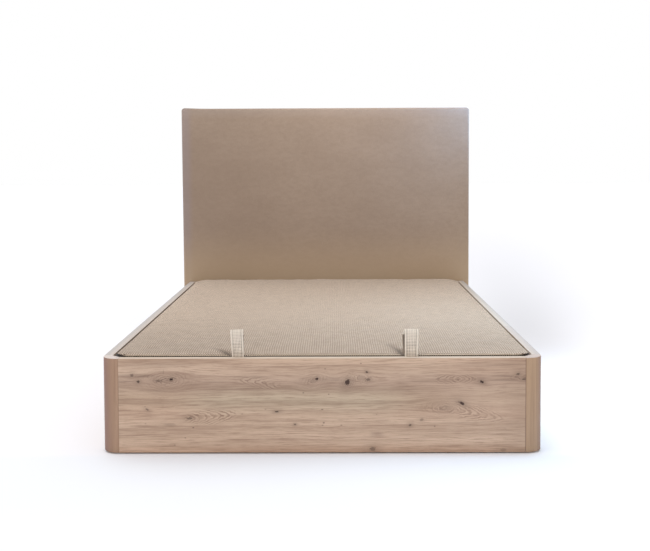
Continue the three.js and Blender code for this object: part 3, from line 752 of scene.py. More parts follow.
def edge_strip(name, along_axis, base, seam=None, outer=None):
    """Pale laminate strip on the boards' top edges, with a faint grain and a greyer outer half."""
    def paint_it(graph, at, x, y, z):
        along, across = (x, y) if along_axis == "X" else (y, x)
        grain = graph.group(grain_effect, along=along, phase=across, depth=0.7, coarse=1.6)
        darker = [level * 0.82 for level in base[:3]] + [1.0]
        colour = graph.mix(graph.fade(grain["lines"], 0.4, 0.75) * 0.5, base, darker)
        if outer:
            off = abs(outer) - abs(across)
            colour = graph.mix(graph.fall(off, 0.011, 0.017) * 0.55, colour, EDGE_GREY)
            colour = graph.mix(graph.fall(off, 0.001, 0.003) * 0.4, colour, EDGE_LINE)
        if seam:
            nearer = graph.math("LESS_THAN", along, seam)
            colour = graph.mix(nearer * 0.35, colour, linear(176, 162, 158))
            joint = graph.fall(abs(along - seam), 0.0005, 0.0014)
            colour = graph.mix(joint * 0.55, colour, linear(112, 98, 94))
        worn = graph.group(mottle_effect, place=at, size=0.15)
        colour = graph.mix(worn["fine"] * 0.12, colour, linear(250, 246, 242))
        return colour, 0.42 + grain["lines"] * 0.2, grain["lines"], 0.0001
    return shaded(name, paint_it)


def chipboard():
    def paint_it(graph, at, x, y, z):
        places = graph.stretched(at, 160, 420, 160)
        chips = graph.made("TexVoronoi", {"Vector": places, "Scale": 1.0}, "Color")
        tone = graph.made("SeparateColor", {0: chips})
        fine = graph.noise(at, 600.0, 3.0, 0.6)
        colour = graph.ramp(tone, (0.0, linear(140, 108, 76)), (0.5, linear(186, 152, 112)),
                            (1.0, linear(214, 184, 146)))
        colour = graph.mix(fine * 0.3, colour, linear(110, 84, 60))
        return colour, 0.9, tone + fine, 0.0004
    return shaded("chipboard_core", paint_it)


def plywood(name, layer_axis, low, high, plies=5, wrapped=False):
    """Plywood: long face grain, and plies in turn light and dark where the edge shows. On the lid the
    cover is drawn round the edge and turned in below, and the board's top face and outer edge are painted
    nearly black as shade."""
    def paint_it(graph, at, x, y, z):
        depth = {"Y": y, "Z": z}[layer_axis]
        across = {"Y": z, "Z": y}[layer_axis]
        grain = graph.group(grain_effect, along=across, phase=x, depth=0.2, coarse=0.8)
        face = graph.mix(graph.fade(grain["bands"], 0.3, 0.7), linear(203, 172, 130), linear(222, 194, 154))
        face = graph.mix(graph.fade(grain["lines"], 0.45, 0.75) * 0.4, face, linear(168, 132, 92))
        share = (depth - low) / (high - low)
        layer = graph.math("SINE", share * (math.pi * plies))
        edge = graph.mix(graph.fade(layer, -0.3, 0.3), linear(150, 112, 76), linear(206, 170, 124))
        inside = graph.fade(share, 0.02, 0.05) * graph.fall(share, 0.95, 0.98)
        colour = graph.mix(inside, face, edge)
        if wrapped:
            inward = graph.math("MINIMUM", lid_x[1] - abs(x), y - lid_y[0])
            inward = graph.math("MINIMUM", inward, lid_y[1] - y)
            ragged = (graph.noise(graph.stretched(at, 9, 9, 9)) - 0.5) * 0.012
            turned_in = graph.fall(inward + ragged, 0.0515, 0.0525)
            comb = graph.group(honeycomb_effect, first=x, second=y, pitch=0.0074)
            cover = graph.mix(comb["hole"] * 0.7, linear(120, 104, 92), linear(70, 58, 49))
            colour = graph.mix(turned_in, colour, cover)
            # Painted shade: the board's top face and its outer edge, which show only in the gap round the
            # cover, are painted nearly black.
            colour = graph.mix(graph.fade(z, high - 0.3 * MM, high - 0.1 * MM), colour, linear(40, 33, 28))
            colour = graph.mix(graph.fall(inward, 0.0008, 0.002), colour, linear(34, 27, 23))
        return colour, 0.6 + grain["pores"] * 0.1, grain["lines"], 0.00015
    return shaded(name, paint_it)


def coated_steel(name, base, metallic, rough, peel=0.0001, **constants):
    """Painted, plated or polished steel with fine unevenness, handling marks and dust."""
    def paint_it(graph, at, x, y, z):
        peel_height = graph.noise(at, 900.0, 2.0, 0.5)
        marks = graph.group(mottle_effect, place=at, size=0.05)
        rubbed = graph.fade(marks["fine"], 0.6, 0.75)
        lighter = [min(1.0, level * 1.25 + 0.02) for level in base[:3]] + [1.0]
        colour = graph.mix(graph.fade(marks["broad"], 0.4, 0.65) * 0.5, base, lighter)
        gloss = rough + (marks["broad"] - 0.5) * 0.2 + rubbed * 0.1
        return colour, gloss, peel_height, peel
    return shaded(name, paint_it, Metallic=metallic, **constants)


def moulded_plastic(name, base, rough=0.5):
    def paint_it(graph, at, x, y, z):
        grit = graph.noise(at, 1400.0, 2.0, 0.6)
        marks = graph.group(mottle_effect, place=at, size=0.02)
        lighter = [min(1.0, level * 1.3 + 0.01) for level in base[:3]] + [1.0]
        colour = graph.mix(marks["fine"] * 0.5, base, lighter)
        return colour, rough + grit * 0.15, grit, 0.00006
    return shaded(name, paint_it)


def white_board():
    """Pale ash foil of the storage floor."""
    def paint_it(graph, at, x, y, z):
        grain = graph.group(grain_effect, along=y, phase=x, depth=0.9, coarse=0.7)
        colour = graph.mix(graph.fade(grain["lines"], 0.4, 0.8) * 0.5, linear(228, 223, 214),
                           linear(200, 190, 176))
        dust = graph.group(mottle_effect, place=at, size=0.3)
        colour = graph.mix(graph.fade(dust["broad"], 0.45, 0.8) * 0.2, colour, linear(190, 182, 170))
        return colour, 0.5 + dust["fine"] * 0.15, grain["lines"], 0.00008
    return shaded("floor_foil", paint_it)


STRAP_CENTRES = {side: middle(reach(f"{side}_pull_strap")[0]) for side, _ in SIDES}
LID_EDGE = pad_z[0] + 7.5 * MM

# Radius of the lid's front corners, left and right
LID_CORNER = {-1: 58 * MM, 1: 45 * MM}
FOLDS = {
    # lean, side of the strap, height in millimetres, width, how far back
    "left": ((-0.75, -1, -5.5, 0.011, 0.06), (-1.1, -1, 2.0, 0.014, 0.06), (0.32, 1, -2.6, 0.013, 0.09)),
    "right": ((-0.27, -1, -7.0, 0.011, 0.11), (-0.5, -1, 2.5, 0.014, 0.1), (0.42, 1, -2.0, 0.013, 0.07)),
}
# Folds at least this low, in millimetres, have a painted shadow
SHADED_FOLD = -5
STRAP_WIDTH = 42 * MM
STRAP_RISE = 87 * MM


def strap_shadows(graph, colour, x, y):
    """Shadows in the deep folds that run back from the straps."""
    for side, folds in FOLDS.items():
        for lean, hand, high, _, back in folds:
            if high > SHADED_FOLD:
                continue
            off = (x - (STRAP_CENTRES[side] + hand * 0.026) - (y - lid_y[0]) * lean) / 0.016
            far = (y - lid_y[0]) / back
            shadow = graph.math("EXPONENT", off * off * -1.0 - far * far)
            colour = graph.mix(shadow * 0.9, colour, linear(90, 75, 63))
    return colour


def bound_edge(graph, colour, x, y, z):
    """Painted shade on the cover's bound lower edge, where it sits low in the gap by the rim, with its
    zigzag thread.
    """
    zig = graph.math("PINGPONG", x, 0.003)
    thread = z - (pad_z[0] + 3.6 * MM) - zig * 1.2
    thread = graph.fall(abs(thread), 0.0009, 0.0017)
    from_side = lid_x[1] - abs(x)
    thread = thread * graph.fade(from_side, 0.02, 0.05) * 0.95
    # Painted shade: the edge is near black under the pale thread, as it sits in the gap by the rim.
    bound = graph.mix(thread, linear(58, 47, 40), linear(232, 214, 190))
    from_side = from_side + graph.fade(x, -0.1, 0.1, 0.0, 0.002)
    corner = graph.fade(x, -0.1, 0.1, LID_CORNER[-1], LID_CORNER[1])
    round_side = graph.math("MAXIMUM", corner - from_side, 0.0)
    round_front = graph.math("MAXIMUM", corner + lid_y[0] - y, 0.0)
    inward = corner - graph.hypotenuse(round_side, round_front)
    # Where the painted shade goes: the lowest part of the edge, close to the outline.
    shaded_low_edge = (graph.fall(z, LID_EDGE - 1.4 * MM, LID_EDGE - 0.6 * MM)
                * graph.fall(inward, 0.004, 0.0055))
    return graph.mix(shaded_low_edge, colour, bound)


def lid_mesh():
    """Woven spacer mesh of the lid: small holes set like a honeycomb between fine ribs."""
    def paint_it(graph, at, x, y, z):
        sway = graph.noise(graph.stretched(at, 5, 5, 5), detail=1.0)
        first = x + (sway - 0.5) * 0.006
        comb = graph.group(honeycomb_effect, first=first, second=y, pitch=0.0076)
        threads = graph.group(weave_effect, first=x, second=y, pitch=0.0009)
        dye = graph.group(mottle_effect, place=at, size=0.12)
        farther = graph.fade(y, lid_y[0], -0.1) * 0.7
        colour = graph.mix(farther + dye["broad"] * 0.3, LID_BASE, LID_PALE)
        colour = graph.mix(dye["fine"] * 0.2, colour, linear(150, 133, 118))
        # Painted shade: the lid's left front is darker, as the light falls from the right.
        shaded_lid_left = graph.fall(x, -0.6, 0.0) * graph.fall(y, -0.9, -0.2)
        colour = graph.mix(shaded_lid_left * 0.25, colour, linear(152, 134, 120))
        patches = graph.noise(graph.stretched(at, 34, 24, 34), detail=3.0, rough=0.65)
        colour = graph.mix(comb["rib"] * graph.fade(patches, 0.35, 0.65, 0.6, 0.85), colour,
                           linear(230, 213, 194))
        colour = graph.mix(comb["hole"] * graph.fade(patches, 0.35, 0.65, 1.0, 0.85), colour,
                           linear(78, 63, 52))
        colour = strap_shadows(graph, colour, x, y)
        colour = bound_edge(graph, colour, x, y, z)
        height = comb["rib"] * 0.5 + threads["height"] * 0.15 + comb["hole"] * -1.0
        return colour, 0.9, height, 0.0008
    return shaded("lid_spacer_mesh", paint_it, Sheen_Weight=0.15, Sheen_Roughness=0.5,
                  Specular_IOR_Level=0.2)


def headboard_cloth():
    """Soft brushed upholstery: close weave under a nap that has been stroked unevenly.
    Shade is painted on the left and along the left edge, light low down and along the top.
    """
    def paint_it(graph, at, x, y, z):
        weave = graph.group(weave_effect, first=x, second=z + y, pitch=0.0016)
        nap = graph.group(mottle_effect, place=graph.stretched(at, 0.55, 1.0, 1.1), size=0.16)
        slubs = graph.noise(graph.stretched(at, 900, 900, 120), detail=2.0)
        cross = graph.noise(graph.stretched(at, 120, 900, 900), detail=2.0)
        colour = graph.mix(graph.fade(nap["broad"], 0.3, 0.7), linear(159, 139, 122), linear(164, 144, 127))
        colour = graph.mix(graph.fade(nap["fine"], 0.35, 0.7) * 0.3, colour, linear(143, 124, 109))
        colour = graph.mix(graph.fade(slubs, 0.5, 0.75) * 0.3, colour, linear(182, 165, 148))
        colour = graph.mix(graph.fade(cross, 0.5, 0.75) * 0.3, colour, linear(140, 122, 106))
        # Painted shade: the left part of the headboard is darker, as the light falls from the right.
        shaded_cloth_left = graph.fall(x, -0.68, 0.0) * graph.fall(z, 0.9, 1.15)
        colour = graph.mix(shaded_cloth_left * 0.3, colour, linear(140, 120, 104))
        # Painted shade: the rounded left edge, turned away from the light, is darker and bluish.
        left_edge = graph.fall(x, cover_x[0] + 0.015, cover_x[0] + 0.055)
        colour = graph.mix(left_edge * 0.35, colour, linear(152, 142, 150))
        # Painted light: the cloth is lighter and warmer low down, just above the lid.
        lit_cloth_low = graph.fall(z, 0.3, 0.62)
        colour = graph.mix(lit_cloth_low * 0.75, colour, linear(184, 160, 132))
        # Painted highlight along the top, where the light from above falls on it.
        top_highlight_band = graph.fade(z, cover_z[1] - 0.06, cover_z[1] - 0.01)
        colour = graph.mix(top_highlight_band * 0.25, colour, linear(182, 167, 158))
        height = weave["height"] + slubs * 0.6 + nap["fine"] * 0.8
        return colour, 0.92, height, 0.00035
    return shaded("headboard_brushed_cloth", paint_it, Sheen_Weight=0.35, Sheen_Roughness=0.45,
                  Specular_IOR_Level=0.2)


def strap_webbing(name, shade=0.0):
    """Cotton webbing, its pattern laid along the strap: basket middle and a selvedge at each edge.
    The shade setting paints the side that faces into the loop darker, as painted shade; the crest gets a
    painted highlight."""
    def paint_it(graph, *_):
        across, along, _ = graph.parts(graph.made("UVMap", {}))
        off_middle = abs(across - STRAP_WIDTH / 2)
        basket = (graph.math("SINE", (across + along) * (2 * math.pi / 0.0098))
                  * graph.math("SINE", (across - along) * (2 * math.pi / 0.0098)))
        cords = graph.math("SINE", across * (2 * math.pi / 0.0023))
        picks = graph.math("SINE", along * (2 * math.pi / 0.0042))
        line = graph.fall(abs(off_middle - 0.0145), 0.0008, 0.0022)
        edge = graph.fade(off_middle, 0.0155, 0.017)
        fuzz = graph.noise(graph.join(across, along), 700.0, 3.0, 0.6)
        worn = graph.noise(graph.join(across, along), 60.0, 2.0, 0.6)
        pattern = basket * graph.fade(worn, 0.3, 0.6, 0.6, 1.4) + picks * 0.25 + cords * 0.12
        # Painted highlight on the loop's crest, where it bends over into the light.
        crest_highlight = graph.fall(abs(along - 0.165), 0.02, 0.05)
        middle = graph.mix(graph.fade(pattern, -0.7, 0.35), linear(131, 113, 98), linear(245, 233, 218))
        middle = graph.mix(crest_highlight * 0.6, middle, linear(228, 216, 201))
        selvedge = graph.mix(graph.fade(picks, -0.5, 0.8), linear(226, 213, 197), linear(246, 237, 225))
        colour = graph.mix(edge, middle, selvedge)
        colour = graph.mix(line * 0.42, colour, linear(138, 121, 105))
        colour = graph.mix(fuzz * 0.15, colour, linear(240, 231, 218))
        colour = graph.mix(shade, colour, linear(122, 106, 92))
        return colour, 0.9, pattern + fuzz * 0.5 + line * -0.8, 0.0006
    return shaded(name, paint_it, Sheen_Weight=0.15, Specular_IOR_Level=0.2)


def dust_cloth():
    """Black non-woven cloth with its grid of pressed dimples."""
    def paint_it(graph, at, x, y, z):
        comb = graph.group(honeycomb_effect, first=x, second=z, pitch=0.003)
        fibres = graph.noise(graph.stretched(at, 260, 260, 700), detail=3.0, rough=0.7)
        colour = graph.mix(graph.fade(fibres, 0.4, 0.7), linear(34, 34, 37), linear(62, 62, 66))
        colour = graph.mix(comb["hole"] * 0.6, colour, linear(20, 20, 22))
        return colour, 0.85, fibres - comb["hole"], 0.0003
    return shaded("dust_cloth", paint_it)


FINISH = {
    "front": oak("oak_front_board", "X", 0.1, FRONT_KNOTS, FRONT_ARCHES, FRONT_MARKS, tint=FRONT_TINT),
    "left": oak("oak_left_board", "Y", 1.4, SIDE_KNOTS, SIDE_ARCHES, SIDE_MARKS),
    "right": oak("oak_right_board", "Y", 2.6, SIDE_KNOTS, SIDE_ARCHES, SIDE_MARKS, 0.11, -1.0),
    "rear": oak("oak_rear_board", "X", 3.7, SIDE_KNOTS[2:8], SIDE_ARCHES[1:], SIDE_MARKS, 0.2),
    # The posts' outer settings paint shade towards their outer sides.
    "left_post": straight_wood("oak_left_post", "Z", linear(170, 138, 114), linear(156, 124, 99),
                               linear(128, 96, 76), strength=0.5, rough=0.5, outer=(outer_x, 0.78, 46 * MM)),
    "right_post": straight_wood("oak_right_post", "Z", linear(174, 144, 116), linear(162, 133, 105),
                                linear(138, 108, 84), strength=0.45, rough=0.5,
                                outer=(outer_x, 0.62, 26 * MM)),
    "front_edge": edge_strip("front_edge_strip", "X", linear(202, 183, 164)),
    "left_edge": edge_strip("left_edge_strip", "Y", linear(197, 187, 179), outer=outer_x),
    "right_edge": edge_strip("right_edge_strip", "Y", linear(198, 186, 174), seam=-0.434, outer=outer_x),
    "rear_edge": edge_strip("rear_edge_strip", "X", linear(206, 190, 172)),
    "left_post_edge": edge_strip("left_post_edge_strip", "X", linear(210, 197, 190)),
    "right_post_edge": edge_strip("right_post_edge_strip", "X", linear(189, 171, 162)),
    "core": chipboard(),
    **{f"pine_{axis}": straight_wood(f"pine_along_{axis}", axis.upper(), linear(222, 190, 146),
                                     linear(208, 172, 126), linear(176, 132, 86), coarse=0.45,
                                     strength=0.7, rough=0.68) for axis in "xyz"},
    "floor_board": white_board(),
    "lid_board": plywood("lid_plywood", "Z", *lid_board_z, wrapped=True),
    "back_board": plywood("headboard_plywood", "Y", *reach("headboard_front_board")[1]),
    "black_steel": coated_steel("black_powder_coat", linear(38, 40, 43), 0.2, 0.48),
    "zinc": coated_steel("zinc_plate", linear(186, 189, 190), 0.9, 0.34, 0.00004),
    "spring": coated_steel("spring_black_paint", linear(24, 25, 27), 0.3, 0.26, 0.00003, Coat_Weight=0.3),
    "chrome": coated_steel("chrome_plate", linear(226, 228, 231), 1.0, 0.08, 0.00001),
    "nylon": moulded_plastic("glide_nylon", linear(104, 100, 95)),
    "cap": moulded_plastic("tube_cap_plastic", linear(26, 27, 29)),
    "lid": lid_mesh(),
    "headboard": headboard_cloth(),
    "webbing": strap_webbing("cotton_webbing"),
    # The same webbing with painted shade, for the faces that look into the loop.
    "webbing_painted_shade": strap_webbing("cotton_webbing_painted_shade", 0.85),
    "back_cloth": dust_cloth(),
}


# Boards and posts of the box

def edge_or_core(centre, normal):
    """Top faces get the edge strip, undersides the bare core, the rest the oak."""
    if normal.z > 0.9:
        return 1
    return 2 if normal.z < -0.9 else 0


def box_board(name, node, finish):
    piece = block(name, *reach(node))
    soften(piece, 1.0 * MM, 2)
    face_finishes(piece, edge_or_core)
    paint(piece, FINISH[finish], FINISH[finish + "_edge"], FINISH["core"])
    return place(piece, "frame", "oak_board", node)


def corner_post(side, sign):
    node = f"{side}_corner_post"
    x, y, z = reach(node)
    outer = x[0] if sign < 0 else x[1]
    inner = x[1] if sign < 0 else x[0]
    piece = block(f"{side}_oak_post", x, y, z)

    def standing_at(px, py):
        return lambda a, b: all(abs(end.x - px) < MM and abs(end.y - py) < MM for end in (a, b))

    round_edges(piece, standing_at(outer, y[0]), 50 * MM, 16)
    round_edges(piece, standing_at(inner, y[1]), 28 * MM, 1)
    soften(piece, 1.2 * MM, 2, 40)
    face_finishes(piece, edge_or_core)
    paint(piece, FINISH[f"{side}_post"], FINISH[f"{side}_post_edge"], FINISH["core"])
    return place(piece, "frame", "oak_post", node)


def cut_bolt_holes(piece, start, end):
    """Cuts the holes of the two headboard bolts from one depth to another."""
    for bolt in both("headboard_{}_bolt"):
        x, _, z = reach(bolt)
        ends = [(middle(x), depth, middle(z)) for depth in (start, end)]
        cut_away(piece, rod("bolt_hole", *ends, 4.5 * MM, 16))


box_board("front_oak_board", "front_panel", "front")
box_board("left_oak_board", "left_side_panel", "left")
box_board("right_oak_board", "right_side_panel", "right")
rear_board = box_board("rear_oak_board", "rear_panel", "rear")
cut_bolt_holes(rear_board, rear_y[0] - 15 * MM, rear_y[1] + 17 * MM)
for side, sign in SIDES:
    corner_post(side, sign)


# Padded pieces

def flat_slab(name, x, y, z, cell):
    """A closed slab whose broad faces are a grid, so that it can swell."""
    clear_selection()
    size = (x[1] - x[0], y[1] - y[0])
    counts = [max(2, round(length / cell)) for length in size]
    bpy.ops.mesh.primitive_grid_add(x_subdivisions=counts[0], y_subdivisions=counts[1], size=1,
                                    location=(sum(x) / 2, sum(y) / 2, z[0]))
    piece = named(bpy.context.object, name)
    piece.scale = (*size, 1)
    settle(piece)
    bpy.ops.object.mode_set(mode="EDIT")
    bpy.ops.mesh.select_all(action="SELECT")
    bpy.ops.mesh.extrude_region_move(TRANSFORM_OT_translate={"value": (0, 0, z[1] - z[0])})
    bpy.ops.object.mode_set(mode="OBJECT")
    recalculate(piece)
    return piece


def swell(piece, held, pressure, cap, steps=14):
    """Blows the closed piece up as cloth over its filling; the points that held accepts keep their place."""
    start = points_of(piece)
    group = piece.vertex_groups.new(name="held")
    group.add([k for k, at in enumerate(start) if held(at)], 1.0, "REPLACE")
    modifier = piece.modifiers.new("Cloth", "CLOTH")
    cloth = modifier.settings
    cloth.vertex_group_mass = group.name
    cloth.quality = 6
    cloth.use_pressure = True
    cloth.uniform_pressure_force = pressure
    cloth.tension_stiffness = 30
    cloth.compression_stiffness = 10
    cloth.bending_stiffness = 4
    cloth.effector_weights.gravity = 0
    modifier.point_cache.frame_start = 1
    modifier.point_cache.frame_end = steps
    for step in range(1, steps + 1):
        bpy.context.scene.frame_set(step)
    make_active(piece)
    bpy.ops.object.modifier_apply(modifier=modifier.name)
    bpy.context.scene.frame_set(1)
    travel = points_of(piece) - start
    far = np.linalg.norm(travel, axis=1, keepdims=True)
    limit = cap * np.tanh(far / cap) / np.maximum(far, 1e-9)
    move_points(piece, start + travel * limit)
    piece.vertex_groups.clear()


def round_plan(places, x, y, front_radii, rear_radius):
    """Turns the square corners of a slab into arcs, seen from above."""
    result = places.copy()
    for sx in (-1, 1):
        for sy, radius in ((-1, front_radii[sx]), (1, rear_radius)):
            cx = (x[0] if sx < 0 else x[1]) - sx * radius
            cy = (y[0] if sy < 0 else y[1]) - sy * radius
            a = (places[:, 0] - cx) * sx / radius
            b = (places[:, 1] - cy) * sy / radius
            near = (a > 0) & (b > 0)
            a, b = a[near], b[near]
            result[near, 0] = cx + sx * radius * a * np.sqrt(1 - b * b / 2)
            result[near, 1] = cy + sy * radius * b * np.sqrt(1 - a * a / 2)
    return result


def make_lid_pad():
    """The padded cover: thin along its sides, bound along its front, fuller towards the headboard."""
    x = (lid_x[0] + 2.4 * MM, lid_x[1] - 0.8 * MM)
    y = (lid_y[0] + 0.8 * MM, lid_y[1] - 0.8 * MM)
    z = (pad_z[0], pad_z[0] + 3.0 * MM)
    piece = flat_slab("lid_padded_cover", x, y, z, 15 * MM)
    move_points(piece, round_plan(points_of(piece), x, y, LID_CORNER, 10 * MM))
    top = z[1] - MM
    round_edges(piece, lambda a, b: min(a.z, b.z) > top and on_rim(a, x, y) and on_rim(b, x, y), 1.6 * MM, 2)
    swell(piece, lambda at: at[2] < z[0] + 1.2 * MM, 1.2, 1.5 * MM)
    apply_modifier(piece, "SUBSURF", levels=1, render_levels=1)
    divide_near_straps(piece, z[1] - MM)
    places = points_of(piece)
    upper = np.clip((places[:, 2] - z[0] - 0.9 * MM) / (1.4 * MM), 0, 1)
    side_off = np.maximum(np.minimum(places[:, 0] - x[0], x[1] - places[:, 0]), 0)
    front_off = np.maximum(places[:, 1] - y[0], 0)
    full = (1 - np.exp(-side_off / (30 * MM))) * (1 - np.exp(-front_off / (30 * MM)))
    rise = 10.0 * MM + 5.0 * MM * np.clip(front_off / (y[1] - y[0]), 0, 1) ** 2
    bound_edge = 6.0 * MM * np.exp(-front_off / (30 * MM))
    places[:, 2] += upper * (full * rise + bound_edge + uneven_filling(places) * full)
    for side, centre in STRAP_CENTRES.items():
        places[:, 2] += upper * pull_crease(places[:, 0] - centre, front_off, FOLDS[side])
    lower = 1 - np.clip((places[:, 2] - z[0]) / (5 * MM), 0, 1)
    places[:, 1] += lower * np.exp(-front_off / (6 * MM)) * 1.0 * MM
    places[:, 2] = np.clip(places[:, 2], pad_z[0] + 0.1 * MM, pad_z[1] + 6.0 * MM)
    move_points(piece, places)
    smooth(piece, 50)
    paint(piece, FINISH["lid"])
    return place(piece, "lid", "lid_fabric", "lid_pad")


def uneven_filling(places):
    """Low rises and hollows of the filling under the lid's cover."""
    waves = ((21, 44, 0.3), (-38, 27, 1.9), (52, 12, 4.1), (9, -71, 2.6), (64, 48, 5.2))
    return 0.45 * MM * sum(np.sin(a * places[:, 0] + b * places[:, 1] + start) for a, b, start in waves)


def divide_near_straps(piece, top):
    """More points on the upper side round the foot of each strap, for the small folds there."""
    reach_y = lid_y[0] + 0.2
    pick_faces(piece, lambda centre, normal: centre.z > top and normal.z > 0.5 and centre.y < reach_y
               and min(abs(centre.x - middle) for middle in STRAP_CENTRES.values()) < 0.13)
    bpy.ops.mesh.subdivide(number_cuts=1, smoothness=0)
    bpy.ops.object.mode_set(mode="OBJECT")


def on_rim(at, x, y):
    """Whether a point lies on the outline of the lid's slab with its rounded corners."""
    radius = LID_CORNER[1 if at.x > 0 else -1] + MM
    dx = max(x[0] + radius - at.x, at.x - x[1] + radius, 0)
    dy = max(y[0] + radius - at.y, at.y - y[1] + radius, 0)
    if dx > 0 and dy > 0:
        return math.hypot(dx, dy) > radius - 2.5 * MM
    return max(dx, dy) > radius - 0.5 * MM


def pull_crease(off, back, folds):
    """Height of the small folds that run from the foot of a strap into the lid's cover."""
    height = -1.5 * MM * np.exp(-(off / 0.028) ** 2) * np.exp(-(back / 0.03) ** 2)
    for lean, hand, high, wide, reach_back in folds:
        line = off - hand * 0.024 - lean * back
        height += high * MM * np.exp(-(line / wide) ** 2) * np.exp(-(back / reach_back) ** 2)
    return height


make_lid_pad()


def make_headboard_cover():
    """The padded cover of the headboard, a tray over its timber frame."""
    x = (cover_x[0] - 1.2 * MM, cover_x[1] + 1.2 * MM)
    z = (cover_z[0], cover_z[1] + 1.2 * MM)
    depth = (cover_y[1], cover_y[0] + 3.0 * MM)
    piece = flat_slab("headboard_padded_cover", x, (z[0], z[1]), (0, depth[0] - depth[1]), 15 * MM)
    places = points_of(piece)
    stood = np.column_stack([places[:, 0], depth[0] - places[:, 2], places[:, 1]])
    move_points(piece, stood)
    recalculate(piece)
    corner = 14 * MM
    round_edges(piece, lambda a, b: abs(a.x - b.x) < MM and abs(a.z - b.z) < MM
                and z[1] - a.z < MM and min(a.x - x[0], x[1] - a.x) < MM, corner, 4)
    front = depth[1] + MM
    round_edges(piece, lambda a, b: max(a.y, b.y) < front and near_outline(a, x, z, corner)
                and near_outline(b, x, z, corner), 11 * MM, 4)
    swell(piece, lambda at: at[1] > cover_y[1] - 30 * MM, 1.5, 2.6 * MM)
    apply_modifier(piece, "SUBSURF", levels=1, render_levels=1)
    places = points_of(piece)
    places[:, 1] = np.maximum(places[:, 1], cover_y[0] - 2.0 * MM)
    share = np.clip(places[:, 2] / cover_z[1], 0, 1)
    fuller = np.exp((x[0] - places[:, 0]) / (50 * MM))
    places[:, 0] -= fuller * (2.0 + 5.0 * share) * MM
    ear = np.exp(-((places[:, 0] - x[0]) / (70 * MM)) ** 2) * np.exp((places[:, 2] - z[1]) / (40 * MM))
    places[:, 2] += ear * 3.5 * MM
    move_points(piece, places)
    wall = 8 * MM
    cavity = block("cavity", (x[0] + wall, x[1] - wall), (cover_y[0] + 24 * MM, cover_y[1] + 20 * MM),
                   (cover_z[0] - 20 * MM, cover_z[1] - wall))
    cut_away(piece, cavity)
    cut_bolt_holes(piece, cover_y[0] - 10 * MM, cover_y[0] + 30 * MM)
    smooth(piece, 50)
    paint(piece, FINISH["headboard"])
    return place(piece, "frame", "headboard_fabric", "headboard_cover")


def near_outline(at, x, z, corner):
    """Whether a point of the headboard's front lies on its outline."""
    dx = max(x[0] + corner - at.x, at.x - x[1] + corner, 0)
    dz = max(at.z - z[1] + corner, 0)
    if dx > 0 and dz > 0:
        return math.hypot(dx, dz) > corner - MM
    return max(dx, dz) > corner - 0.5 * MM or at.z < z[0] + 0.5 * MM


make_headboard_cover()


# Pull straps

def strap_line():
    """Middle line of a strap in Y and Z: under the tube, up the gap, round the loop and down again."""
    thick = 1.2 * MM
    gap = 0.3 * MM
    rear = lid_y[0] - gap - thick / 2
    front = rear - thick - gap
    upper = tube_bottom - gap - thick / 2
    lower = upper - thick - gap
    tail = lid_y[0] + 26 * MM
    bend = 1.6 * MM
    wide = bend + thick + gap
    rise = board_z[1] + 6 * MM
    belly = board_z[1] + STRAP_RISE * 0.72
    crest = board_z[1] + STRAP_RISE - thick / 2
    belly_rear = rear + 15 * MM
    pull = (crest - belly) / 0.75
    line = [(tail, upper), (rear + 8 * MM, upper)]
    line += arc(rear + bend, upper + bend, bend, -90, -180)
    line += [(rear, upper + 12 * MM), (rear, rise - 8 * MM)]
    line += curve((rear, rise), (rear, rise + 20 * MM), (belly_rear, belly - 26 * MM),
                  (belly_rear, belly), 10)
    line += curve((belly_rear, belly), (belly_rear, belly + pull), (front, belly + pull),
                  (front, belly), 16)
    line += [(front, belly - 20 * MM), (front, rise), (front, lower + wide + 4 * MM)]
    line += arc(front + wide, lower + wide, wide, 180, 270)
    line += [(front + wide + 6 * MM, lower), (tail, lower)]
    return line


def arc(y, z, radius, start, end, steps=5):
    angles = [math.radians(start + (end - start) * k / steps) for k in range(steps + 1)]
    return [(y + radius * math.cos(angle), z + radius * math.sin(angle)) for angle in angles]


def curve(p0, p1, p2, p3, steps):
    made = []
    for k in range(1, steps + 1):
        t = k / steps
        shares = ((1 - t) ** 3, 3 * t * (1 - t) ** 2, 3 * t * t * (1 - t), t ** 3)
        made.append(tuple(sum(s * p[axis] for s, p in zip(shares, (p0, p1, p2, p3))) for axis in (0, 1)))
    return made


def even_steps(line, step):
    """The same line with points at even steps, and how far along each one is."""
    line = np.array(line)
    run = np.concatenate([[0], np.cumsum(np.linalg.norm(np.diff(line, axis=0), axis=1))])
    count = int(run[-1] / step)
    at = np.linspace(0, run[-1], count + 1)
    return np.column_stack([np.interp(at, run, line[:, 0]), np.interp(at, run, line[:, 1])]), at


STRAP_FORMS = {
    # sideways lean of the crest, sideways slip of the rear leg, width at the foot
    "left": (-3.5 * MM, 0.0, 0.92),
    "right": (1.0 * MM, -6.5 * MM, 1.0),
}


